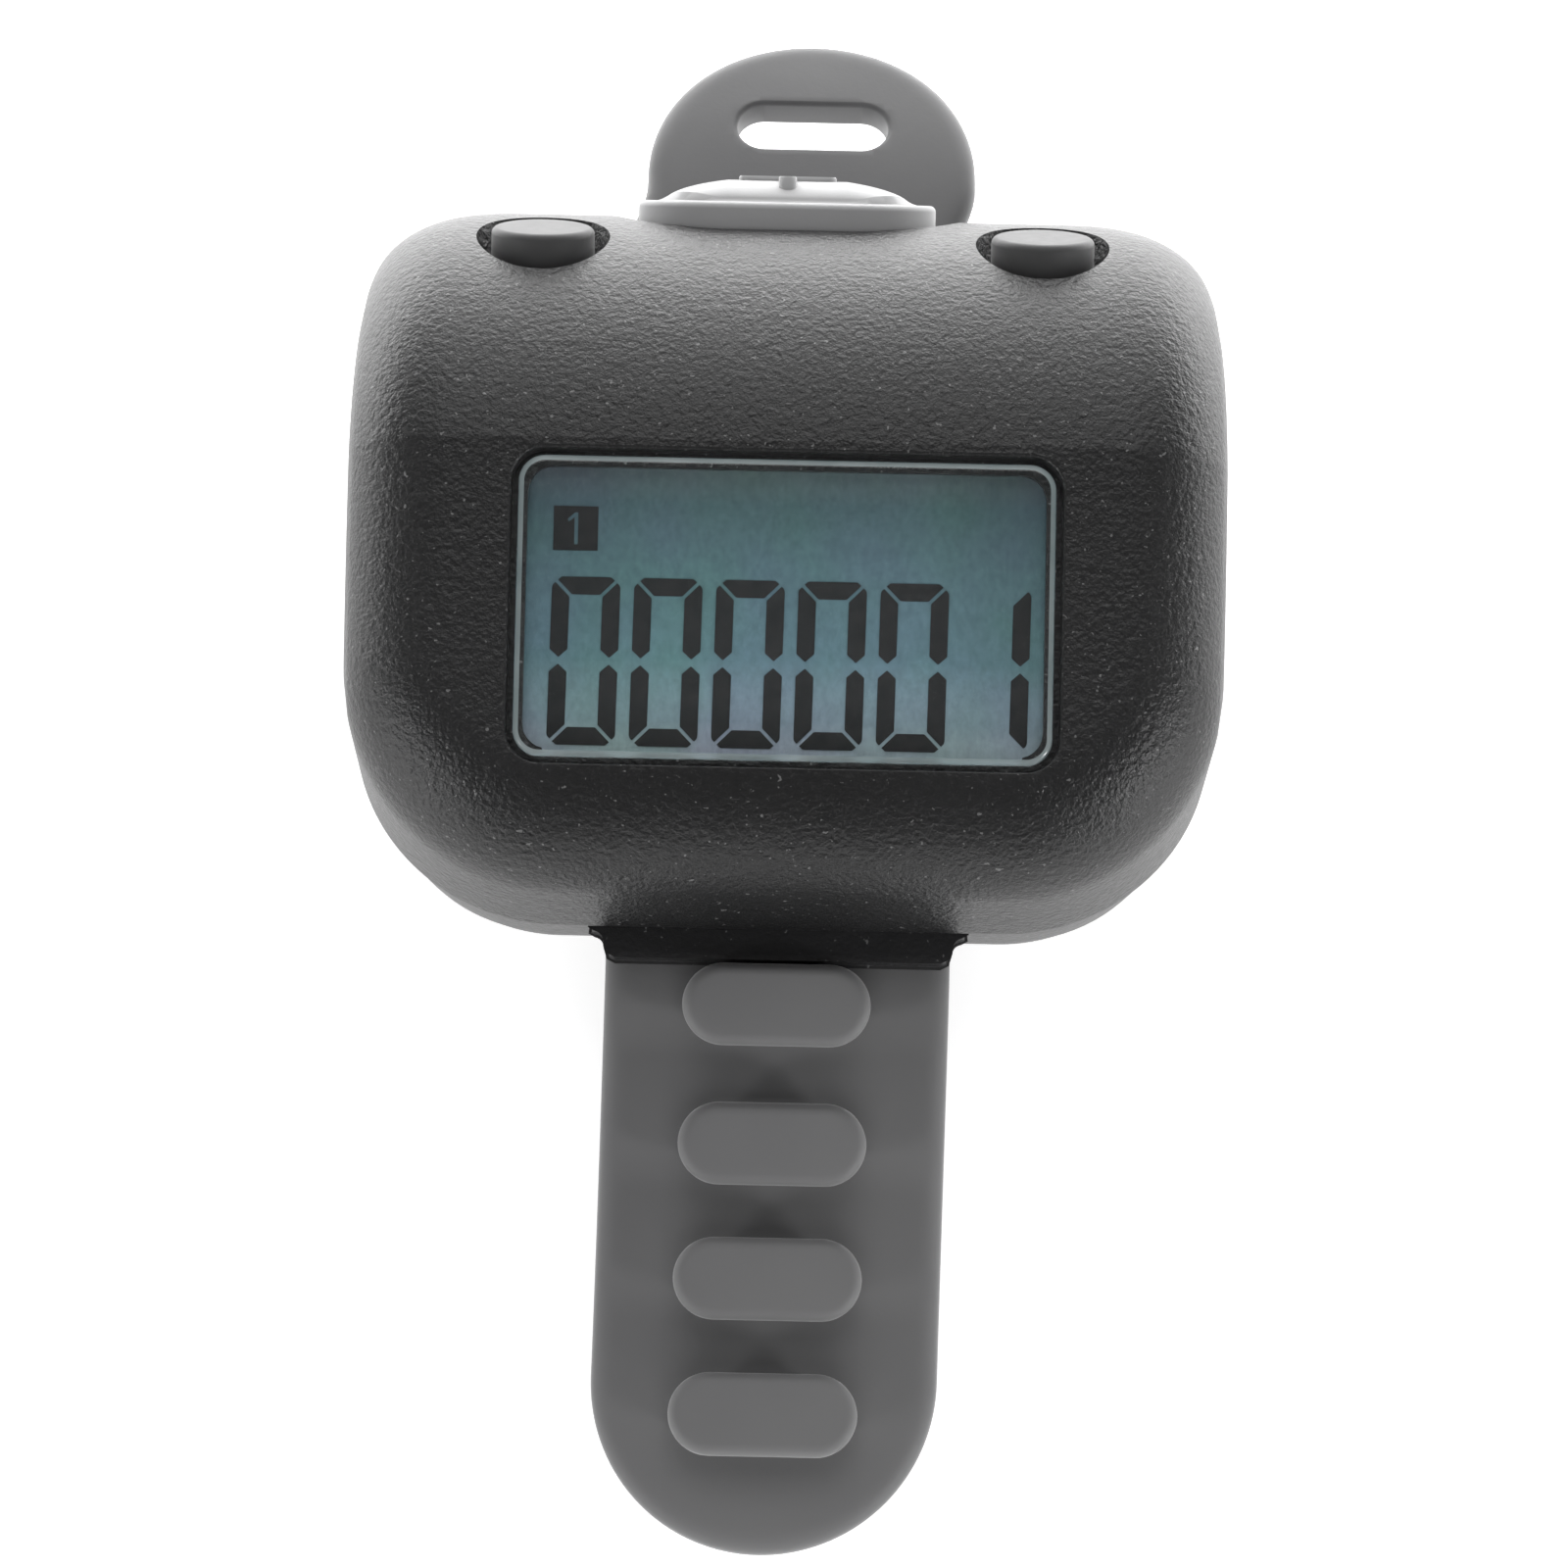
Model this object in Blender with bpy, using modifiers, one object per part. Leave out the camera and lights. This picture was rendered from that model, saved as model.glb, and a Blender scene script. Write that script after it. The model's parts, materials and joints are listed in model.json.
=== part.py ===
"""Finger tally counter: a two-part housing with a display, three keys, a button cell and a silicone strap.

The housing is drawn with its underside at height 0, the display facing up, the stud end of the strap towards
-Y and the count button towards +Y. The empty "counter_origin" then moves everything so that the world
origin is the middle of the bottom of the whole counter's box.
"""

import math

import bmesh
import bpy
import numpy as np

MM = 0.001
GAP = 0.3 * MM  # between pieces that touch

# Housing, outside
HALF_WIDTH = 20.0 * MM
FRONT_Y = -17.5 * MM
REAR_Y = 19.6 * MM
FRONT_CORNER = 9.5 * MM
REAR_CORNER = 7.0 * MM
SIDE_CROWN = 0.25 * MM
TOP_FILLET = 4.8 * MM
WALL = 1.6 * MM

# The line over the middle of the roof, as the flat face, a round top and a gently curved back
CREASE_Y = 1.03 * MM
CREASE_Z = 19.49 * MM
FACE_SLOPE = math.radians(12.5)
TOP_RADIUS = 15.0 * MM
TOP_START = math.radians(-4.0)
TOP_END = math.radians(68.0)
BACK_RADIUS = 50.0 * MM
BACK_END = math.radians(82.0)

# Seam between the two shells
SEAM_FRONT_Z = 4.8 * MM
SEAM_REAR_Z = 3.6 * MM
SEAM_TILT = math.atan2(SEAM_FRONT_Z - SEAM_REAR_Z, REAR_Y - FRONT_Y)
BOTTOM_STEP = 0.35 * MM  # the bottom shell is this much smaller all round
BOTTOM_DRAFT = math.tan(math.radians(5.0))
BOTTOM_EDGE = 0.8 * MM
BOTTOM_WALL = 1.5 * MM
BASE_PLATE = 1.4 * MM

# Strap and the channel that it lies in
STRAP_WIDTH = 16.1 * MM
STRAP_THICK = 1.8 * MM
STRAP_Z = 1.9 * MM  # height of its middle in the channel
CHANNEL_TOP = STRAP_Z + STRAP_THICK / 2 + GAP
CHANNEL_HALF = STRAP_WIDTH / 2 + GAP
FLOOR_TOP = CHANNEL_TOP + 0.8 * MM
BAR_THICK = 0.7 * MM
BAR_DEPTH = 3.0 * MM
FRONT_BAR_Y = -15.0 * MM
REAR_BAR_Y = 15.6 * MM
FRONT_PIVOT_Y = -18.6 * MM
REAR_PIVOT_Y = 19.2 * MM
FRONT_LENGTH = 27.1 * MM
FRONT_STRAIGHT = 8.0 * MM
FRONT_DIP = math.radians(15.7)
FRONT_BEND = 1 / (85.0 * MM)  # curls back up
REAR_LENGTH = 10.7 * MM
REAR_STRAIGHT = 0.5 * MM
REAR_DIP = math.radians(4.9)
REAR_BEND = -1 / (35.5 * MM)  # curls further down
SLOT_SIZE = (7.4 * MM, 2.7 * MM)
SLOT_FROM_TIP = 5.5 * MM
STUD_PITCH = 6.42 * MM
STUD_FROM_TIP = 6.3 * MM
STUD_COUNT = 4
STUD_CAP = (8.7 * MM, 3.8 * MM)
STUD_STEM = (7.2 * MM, 2.6 * MM)
STUD_STEM_HEIGHT = 1.3 * MM
STUD_CAP_HEIGHT = 1.3 * MM
SHELF_HALF = 7.95 * MM
SHELF_Y = -18.6 * MM
SHELF_Z = (3.3 * MM, 4.45 * MM)

# Display, in the frame of the flat face: X across, Y up the slope from the crease, Z out of the face
LENS = (24.0 * MM, 13.5 * MM)
LENS_MIDDLE = -7.49 * MM
LENS_CORNER = 1.2 * MM
LENS_TOP = -0.05 * MM
LENS_BOTTOM = -0.9 * MM
POCKET_DEPTH = 1.2 * MM
WINDOW = (23.2 * MM, 12.7 * MM)
PANEL = (25.0 * MM, 14.8 * MM)
PANEL_Z = (-3.5 * MM, -1.9 * MM)
HOLDER_Z = (-5.9 * MM, -3.8 * MM)
HOLDER_WALL = 1.0 * MM
BOARD = (26.4 * MM, 16.4 * MM)
BOARD_MIDDLE = -7.0 * MM
BOARD_Z = (-7.2 * MM, -6.2 * MM)

# Keys: each has a frame on the roof line with X across, Y down the back and Z out along its axis
KEY_PLACE = math.radians(44.0)  # where on the round top, as the angle of its normal from upright
KEY_ANGLE = math.radians(57.0)
KEY_SPACING = 11.5 * MM
KEY_RADIUS = 2.375 * MM
KEY_TOP = 0.5 * MM
KEY_FLANGE_Z = (-3.6 * MM, -3.0 * MM)
KEY_FLANGE_RADIUS = 3.0 * MM
KEY_BOARD_DEPTH = 6.4 * MM
WELL_RADII = (3.3 * MM, 2.85 * MM)
WELL_DEPTH = 1.0 * MM
COUNT_PLACE = math.radians(67.0)
COUNT_X = -0.3 * MM
COUNT_ANGLE = math.radians(66.0)
COUNT_COLLAR = (14.0 * MM, 8.0 * MM)
COUNT_DOME = (11.4 * MM, 5.8 * MM)
COUNT_COLLAR_TOP = 0.7 * MM
COUNT_DOME_TOP = 1.9 * MM
COUNT_DISH = (16.4 * MM, 9.4 * MM)
COUNT_DISH_DEPTH = 0.45 * MM
COUNT_FLANGE_Z = (-2.9 * MM, -2.3 * MM)
COUNT_FLANGE = (16.2 * MM, 6.2 * MM)
PLUNGER_RADIUS = 0.8 * MM
SWITCH = (4.2 * MM, 3.2 * MM)
SWITCH_HEIGHT = 1.3 * MM
SWITCH_STANDOFF = 0.45 * MM
KEY_BOARD_ANGLE = math.radians(61.0)
KEY_BOARD_THICK = 1.0 * MM
KEY_BOARD_HALF = 14.2 * MM
KEY_BOARD_UP = -2.2 * MM
KEY_BOARD_DOWN = 7.1 * MM

# Battery and its door
CELL_RADIUS = 5.8 * MM
CELL_HEIGHT = 3.05 * MM
CELL_Y = -3.2 * MM
DOOR_THICK = 0.9 * MM
DOOR = (13.2 * MM, 17.6 * MM)
DOOR_Y = -0.9 * MM
DOOR_SCREW_Y = 5.6 * MM
WELL_BLOCK = (15.2 * MM, 14.6 * MM)
PAD = (15.8 * MM, 20.4 * MM)
CELL_Z = CHANNEL_TOP + DOOR_THICK + GAP

# Screws
SCREW_FRONT = (15.6 * MM, -9.5 * MM)
SCREW_REAR = (16.5 * MM, 8.6 * MM)
SCREW_HEAD = 1.55 * MM
SCREW_SHANK = 0.8 * MM
BOSS_RADIUS = 1.95 * MM
FRONT_BOSS_TOP = 15.8 * MM
REAR_BOSS_TOP = 9.0 * MM
ROUND_STEPS = 24

for stray in list(bpy.data.objects):
    bpy.data.objects.remove(stray)

parts = bpy.data.collections.new("finger_tally_counter")
cutters = bpy.data.collections.new("cutters")
for collection in (parts, cutters):
    bpy.context.scene.collection.children.link(collection)


# ---------------------------------------------------------------- strap paths


def strap_path(sign, pivot_y, dip, straight, bend, s):
    """(y, z, dip) of the strap's middle plane, s metres past its pivot; sign is -1 in front and 1 behind."""
    lead = min(s, straight)
    y = lead * math.cos(dip)
    z = -lead * math.sin(dip)
    turned_dip = dip - bend * max(s - straight, 0.0)
    y += (math.sin(dip) - math.sin(turned_dip)) / bend
    z -= (math.cos(turned_dip) - math.cos(dip)) / bend
    return pivot_y + sign * y, STRAP_Z + z, turned_dip


def front_path(s):
    return strap_path(-1, FRONT_PIVOT_Y, FRONT_DIP, FRONT_STRAIGHT, FRONT_BEND, s)


def rear_path(s):
    return strap_path(1, REAR_PIVOT_Y, REAR_DIP, REAR_STRAIGHT, REAR_BEND, s)


def tip_reach(path, length, sign):
    """(y, z) of how far along Y and how low the strap's tip reaches."""
    y, z, dip = path(length)
    return y + sign * math.sin(dip) * STRAP_THICK / 2, z - math.cos(dip) * STRAP_THICK / 2


FRONT_TIP_Y, FRONT_TIP_Z = tip_reach(front_path, FRONT_LENGTH, -1)
REAR_TIP_Y, REAR_TIP_Z = tip_reach(rear_path, REAR_LENGTH, 1)
LOWEST_Z = min(FRONT_TIP_Z, REAR_TIP_Z)


# ---------------------------------------------------------------- places on the roof line


def round_top_point(angle):
    """(y, z) on the round top where its normal leans back by this angle."""
    y = CREASE_Y + TOP_RADIUS * (math.sin(angle) - math.sin(TOP_START))
    z = CREASE_Z + TOP_RADIUS * (math.cos(angle) - math.cos(TOP_START))
    return y, z


def along(point, angle, distance):
    """(y, z) this far from the point along a direction that leans back by this angle."""
    return point[0] + distance * math.sin(angle), point[1] + distance * math.cos(angle)


KEY_POINT = round_top_point(KEY_PLACE)
COUNT_POINT = round_top_point(COUNT_PLACE)
BOARD_POINT = along(KEY_POINT, KEY_ANGLE, -KEY_BOARD_DEPTH)
COUNT_BOARD_DEPTH = ((COUNT_POINT[0] - BOARD_POINT[0]) * math.sin(KEY_BOARD_ANGLE)
                     + (COUNT_POINT[1] - BOARD_POINT[1]) * math.cos(KEY_BOARD_ANGLE)
                     ) / math.cos(COUNT_ANGLE - KEY_BOARD_ANGLE)


# ---------------------------------------------------------------- general helpers


def material(name, colour, roughness, metallic=0.0):
    made = bpy.data.materials.new(name)
    made.use_nodes = True
    shader = made.node_tree.nodes["Principled BSDF"]
    shader.inputs["Base Color"].default_value = (*colour, 1.0)
    shader.inputs["Roughness"].default_value = roughness
    shader.inputs["Metallic"].default_value = metallic
    return made


BLACK_PLASTIC = material("black_plastic", (0.022, 0.022, 0.023), 0.45)
STRAP_SILICONE = material("strap_silicone", (0.11, 0.11, 0.112), 0.6)
KEY_SILICONE = material("key_silicone", (0.17, 0.17, 0.17), 0.6)
CLEAR_PLASTIC = material("clear_plastic", (0.75, 0.85, 0.86), 0.05)
DISPLAY_GLASS = material("display_glass", (0.1, 0.17, 0.19), 0.1)
WHITE_FILM = material("white_film", (0.8, 0.8, 0.8), 0.5)
GREEN_BOARD = material("green_board", (0.02, 0.16, 0.06), 0.4)
EPOXY = material("epoxy", (0.01, 0.01, 0.01), 0.25)
STEEL = material("steel", (0.6, 0.6, 0.6), 0.3, 1.0)
PINK_RUBBER = material("pink_rubber", (0.6, 0.3, 0.3), 0.7)
RIBBON = material("ribbon", (0.35, 0.36, 0.38), 0.5)


def empty(name, parent, location, tilt=0.0):
    made = bpy.data.objects.new(name, None)
    parts.objects.link(made)
    made.parent = parent
    made.location = location
    made.rotation_euler = (tilt, 0.0, 0.0)
    return made


origin = empty("counter_origin", None, (0, -(FRONT_TIP_Y + REAR_TIP_Y) / 2, -LOWEST_Z))
face_frame = empty("face_frame", origin, (0, CREASE_Y, CREASE_Z), FACE_SLOPE)
count_axis = empty("count_axis", origin, (COUNT_X, *COUNT_POINT), -COUNT_ANGLE)
reset_axis = empty("reset_axis", origin, (-KEY_SPACING, *KEY_POINT), -KEY_ANGLE)
channel_axis = empty("channel_axis", origin, (KEY_SPACING, *KEY_POINT), -KEY_ANGLE)
board_frame = empty("key_board_frame", origin, (0, *BOARD_POINT), -KEY_BOARD_ANGLE)
front_pivot = empty("front_strap_pivot", origin, (0, FRONT_PIVOT_Y, STRAP_Z))
rear_pivot = empty("rear_strap_pivot", origin, (0, REAR_PIVOT_Y, STRAP_Z))


def add(mesh, name, look, parent=origin, location=(0, 0, 0)):
    """A named piece of the counter, or a cutter where look is None."""
    made = bpy.data.objects.new(name, mesh)
    (parts if look else cutters).objects.link(made)
    made.parent = parent
    made.location = location
    if look:
        mesh.materials.append(look)
        mesh.shade_smooth()
        mesh.set_sharp_from_angle(angle=math.radians(35))
    else:
        made.hide_render = True
        made.display_type = "WIRE"
    return made


def mesh_of(build, name):
    """A mesh from a function that fills a bmesh."""
    shape = bmesh.new()
    build(shape)
    bmesh.ops.recalc_face_normals(shape, faces=shape.faces)
    mesh = bpy.data.meshes.new(name)
    shape.to_mesh(mesh)
    shape.free()
    return mesh


def box(name, look, low, high, parent=origin):
    """A box between two corners."""
    size = [b - a for a, b in zip(low, high)]
    middle = [(a + b) / 2 for a, b in zip(low, high)]

    def build(shape):
        bmesh.ops.create_cube(shape, size=1.0)
        bmesh.ops.scale(shape, vec=size, verts=shape.verts)
        bmesh.ops.translate(shape, vec=middle, verts=shape.verts)

    return add(mesh_of(build, name), name, look, parent)


def cylinder(name, look, radius, low, high, place=(0, 0), parent=origin, top_radius=None, stretch=1.0):
    """An upright cylinder or cone from low to high; stretch widens it along X."""

    def build(shape):
        bmesh.ops.create_cone(
            shape,
            cap_ends=True,
            segments=ROUND_STEPS,
            radius1=radius,
            radius2=radius if top_radius is None else top_radius,
            depth=high - low,
        )
        bmesh.ops.scale(shape, vec=(stretch, 1, 1), verts=shape.verts)
        bmesh.ops.translate(shape, vec=(place[0], place[1], (low + high) / 2), verts=shape.verts)

    return add(mesh_of(build, name), name, look, parent)


def rounded_rectangle(width, height, radius, middle=(0, 0), steps=5):
    """Points round a rectangle whose corners are arcs."""
    points = []
    for corner, (sx, sy) in enumerate(((1, 1), (-1, 1), (-1, -1), (1, -1))):
        for step in range(steps + 1):
            angle = math.pi / 2 * (corner + step / steps)
            x = sx * (width / 2 - radius) + radius * math.cos(angle)
            y = sy * (height / 2 - radius) + radius * math.sin(angle)
            points.append((middle[0] + x, middle[1] + y))
    return points


def stadium(size, grow=0.0, middle=(0, 0), steps=8):
    width, height = size[0] + 2 * grow, size[1] + 2 * grow
    return rounded_rectangle(width, height, min(width, height) / 2 * 0.999, middle, steps)


def slab(name, look, outlines, low, high, parent=origin, turned_up=False):
    """A flat plate from a closed outline, less any inner outlines; turned_up stands it in the YZ plane."""
    outline = bpy.data.curves.new(name + "_outline", "CURVE")
    outline.dimensions = "2D"
    outline.fill_mode = "BOTH"
    outline.extrude = (high - low) / 2
    for points in outlines:
        spline = outline.splines.new("POLY")
        spline.points.add(len(points) - 1)
        for point, (x, y) in zip(spline.points, points):
            point.co = (x, y, 0, 1)
        spline.use_cyclic_u = True
    guide = bpy.data.objects.new(name + "_outline", outline)
    bpy.context.scene.collection.objects.link(guide)
    graph = bpy.context.evaluated_depsgraph_get()
    mesh = bpy.data.meshes.new_from_object(guide.evaluated_get(graph))
    bpy.data.objects.remove(guide)
    mesh.name = name
    shape = bmesh.new()
    shape.from_mesh(mesh)
    bmesh.ops.remove_doubles(shape, verts=shape.verts, dist=0.001 * MM)
    bmesh.ops.translate(shape, vec=(0, 0, (low + high) / 2), verts=shape.verts)
    if turned_up:
        for vert in shape.verts:
            vert.co = (vert.co.z, vert.co.x, vert.co.y)
    bmesh.ops.recalc_face_normals(shape, faces=shape.faces)
    if shape.calc_volume(signed=True) < 0:
        bmesh.ops.reverse_faces(shape, faces=shape.faces)
    shape.to_mesh(mesh)
    shape.free()
    return add(mesh, name, look, parent)


def turned(name, look, profile, parent=origin, location=(0, 0, 0)):
    """A round piece from a profile of (radius, height) that runs from its top down to its bottom."""

    def build(shape):
        verts = [shape.verts.new((radius, 0, height)) for radius, height in profile]
        for a, b in zip(verts, verts[1:]):
            shape.edges.new((a, b))

    made = add(mesh_of(build, name), name, look, parent, location)
    screw = made.modifiers.new("turn", "SCREW")
    screw.steps = ROUND_STEPS
    screw.render_steps = ROUND_STEPS
    screw.use_merge_vertices = True
    screw.merge_threshold = 0.001 * MM
    return made


def ribbon_outline(points, thickness):
    """The outline of a thin strip that follows the points."""
    sides = [[], []]
    for index, (x, y) in enumerate(points):
        before = points[max(index - 1, 0)]
        after = points[min(index + 1, len(points) - 1)]
        dx, dy = after[0] - before[0], after[1] - before[1]
        length = math.hypot(dx, dy)
        for side, sign in zip(sides, (1, -1)):
            side.append((x - sign * dy / length * thickness / 2, y + sign * dx / length * thickness / 2))
    return sides[0] + sides[1][::-1]


def combine(obj, other, operation="DIFFERENCE"):
    modifier = obj.modifiers.new(operation.lower(), "BOOLEAN")
    modifier.operation = operation
    modifier.object = other
    modifier.solver = "EXACT"


# ---------------------------------------------------------------- housing surface


def roof_tangents():
    """(y, z, normal y, normal z) of planes that touch the roof line, from the face to the back's foot."""
    foot_y, foot_z = along(round_top_point(TOP_END), TOP_END, -BACK_RADIUS)
    tangents = [(CREASE_Y, CREASE_Z, -math.sin(FACE_SLOPE), math.cos(FACE_SLOPE))]
    for angle in np.linspace(TOP_START, TOP_END, 25):
        tangents.append((*round_top_point(angle), math.sin(angle), math.cos(angle)))
    for angle in np.linspace(TOP_END, BACK_END, 6)[1:]:
        tangents.append((*along((foot_y, foot_z), angle, BACK_RADIUS), math.sin(angle), math.cos(angle)))
    return np.array(tangents)


ROOF = roof_tangents()


def roof_distance(y, z):
    y, z = np.asarray(y)[..., None], np.asarray(z)[..., None]
    return ((y - ROOF[:, 0]) * ROOF[:, 2] + (z - ROOF[:, 1]) * ROOF[:, 3]).max(axis=-1)


def plan_distance(x, y):
    """Signed distance to the outline seen from above, a rectangle with round corners and crowned sides."""
    middle = (FRONT_Y + REAR_Y) / 2
    radius = np.where(y < middle, FRONT_CORNER, REAR_CORNER)
    crown = SIDE_CROWN * ((y - middle) / (REAR_Y - middle)) ** 2
    dx = np.abs(x) + crown - (HALF_WIDTH - radius)
    dy = np.where(y < middle, FRONT_Y + radius - y, y - (REAR_Y - radius))
    outside = np.hypot(np.maximum(dx, 0), np.maximum(dy, 0))
    return outside + np.minimum(np.maximum(dx, dy), 0) - radius


def round_meet(a, b, radius):
    """The signed distance of two shapes' overlap, with a fillet of this radius where they meet."""
    a, b = a + radius, b + radius
    return np.minimum(np.maximum(a, b), 0) + np.hypot(np.maximum(a, 0), np.maximum(b, 0)) - radius


def top_form(x, y, z):
    shell = round_meet(plan_distance(x, y), roof_distance(y, z), TOP_FILLET)
    return np.maximum(shell, -3 * MM - z)


def bottom_form(x, y, z):
    draft = BOTTOM_STEP + (SEAM_FRONT_Z - z) * BOTTOM_DRAFT
    side = round_meet(plan_distance(x, y), roof_distance(y, z), TOP_FILLET) + draft
    return round_meet(side, -z, BOTTOM_EDGE)


def solve(form, level, start, direction, reach):
    """How far from start along direction the form reaches this level, by halving."""
    low = np.zeros(start.shape[0])
    high = np.full(start.shape[0], reach)
    for _ in range(40):
        middle = (low + high) / 2
        at = start + direction * middle[:, None]
        inside = form(at[:, 0], at[:, 1], at[:, 2]) < level
        low = np.where(inside, middle, low)
        high = np.where(inside, high, middle)
    return start + direction * low[:, None]


AXIS_Y = 0.0
AXIS_Z = 7.0 * MM
STATIONS = (0.0, 0.35, 0.58, 0.7, 0.77, 0.83, 0.88, 0.925, 0.96, 0.985)
SIDE_RINGS = (0.7, 0.35)
ROUND_ANGLES = 44


def housing_mesh(name, form, inset, low_corner=None):
    """A closed skin of the form, inset by so much: rings round the X axis and a crowned side at each end."""
    angles = list(np.linspace(0, 2 * math.pi, ROUND_ANGLES, endpoint=False))
    if low_corner:
        angles += [math.atan2(z - AXIS_Z, y - AXIS_Y) % (2 * math.pi) for y, z in low_corner]
    angles = np.array(sorted(angles))
    outward = np.stack([np.zeros_like(angles), np.cos(angles), np.sin(angles)], axis=1)
    reach = HALF_WIDTH - inset
    fractions = [-f for f in STATIONS[:0:-1]] + list(STATIONS)
    rings = []
    for fraction in fractions:
        start = np.tile([fraction * reach, AXIS_Y, AXIS_Z], (len(angles), 1))
        rings.append(solve(form, -inset, start, outward, 0.05))
    for sign, edge in ((-1, rings[0]), (1, rings[-1])):
        sideways = np.tile([sign, 0.0, 0.0], (len(angles), 1))
        caps = []
        for ring in SIDE_RINGS:
            inner = np.stack([np.zeros(len(angles)), AXIS_Y + (edge[:, 1] - AXIS_Y) * ring,
                              AXIS_Z + (edge[:, 2] - AXIS_Z) * ring], axis=1)
            caps.append(solve(form, -inset, inner, sideways, 0.05))
        rings = caps[::-1] + rings if sign < 0 else rings + caps

    def build(shape):
        rows = [[shape.verts.new(point) for point in ring] for ring in rings]
        for near, far in zip(rows, rows[1:]):
            for j in range(len(near)):
                k = (j + 1) % len(near)
                shape.faces.new((near[j], near[k], far[k], far[j]))
        shape.faces.new(rows[0])
        shape.faces.new(rows[-1])

    return mesh_of(build, name)


def seam_cutter(name, above):
    """A big block on one side of the seam, half a gap clear of it."""
    size = 60 * MM
    tilt = empty(name + "_frame", origin, (0, FRONT_Y, SEAM_FRONT_Z), -SEAM_TILT)
    low, high = (-GAP / 2, size) if above else (-size, GAP / 2)
    return box(name, None, (-size, -size, low), (size, size, high), tilt)


# ---------------------------------------------------------------- front shell


def build_front_shell():
    shell = add(housing_mesh("front_shell", top_form, 0.0), "front_shell", BLACK_PLASTIC)
    cavity = add(housing_mesh("front_cavity", top_form, WALL), "front_cavity", None)
    for x_sign in (-1, 1):
        for (x, y), top in ((SCREW_FRONT, FRONT_BOSS_TOP), (SCREW_REAR, REAR_BOSS_TOP)):
            place = (x_sign * x, y)
            boss = cylinder("boss", None, BOSS_RADIUS, -5 * MM, top, place)
            combine(cavity, boss)
            pilot = cylinder("pilot", None, SCREW_SHANK + GAP, -6 * MM, REAR_BOSS_TOP - 1 * MM, place)
            combine(shell, pilot)
    combine(shell, cavity)
    combine(shell, seam_cutter("below_seam", above=False))
    pocket = slab("pocket", None, [rounded_rectangle(LENS[0] + 2 * GAP, LENS[1] + 2 * GAP, LENS_CORNER + GAP,
                                                     (0, LENS_MIDDLE))], -POCKET_DEPTH, 3 * MM, face_frame)
    window = slab("window", None, [rounded_rectangle(*WINDOW, LENS_CORNER, (0, LENS_MIDDLE))],
                  -3 * MM, 3 * MM, face_frame)
    combine(shell, pocket)
    combine(shell, window)
    for axis in (reset_axis, channel_axis):
        combine(shell, turned("key_hole", None, [(0, WELL_DEPTH), (WELL_RADII[0], WELL_DEPTH),
                                                 (WELL_RADII[1], -WELL_DEPTH),
                                                 (KEY_RADIUS + GAP, -WELL_DEPTH - 0.1 * MM),
                                                 (KEY_RADIUS + GAP, -5 * MM), (0, -5 * MM)], axis))
    count_hole = slab("count_hole", None, [stadium(COUNT_COLLAR, GAP)], -4 * MM, 4 * MM, count_axis)
    stretch = COUNT_DISH[0] / COUNT_DISH[1]
    dish = cylinder("count_dish", None, COUNT_DISH[1] / 2 * 0.8, -COUNT_DISH_DEPTH, COUNT_DISH_DEPTH,
                    parent=count_axis, top_radius=COUNT_DISH[1] / 2 * 1.2, stretch=stretch)
    combine(shell, dish)
    combine(shell, count_hole)


# ---------------------------------------------------------------- bottom shell


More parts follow.
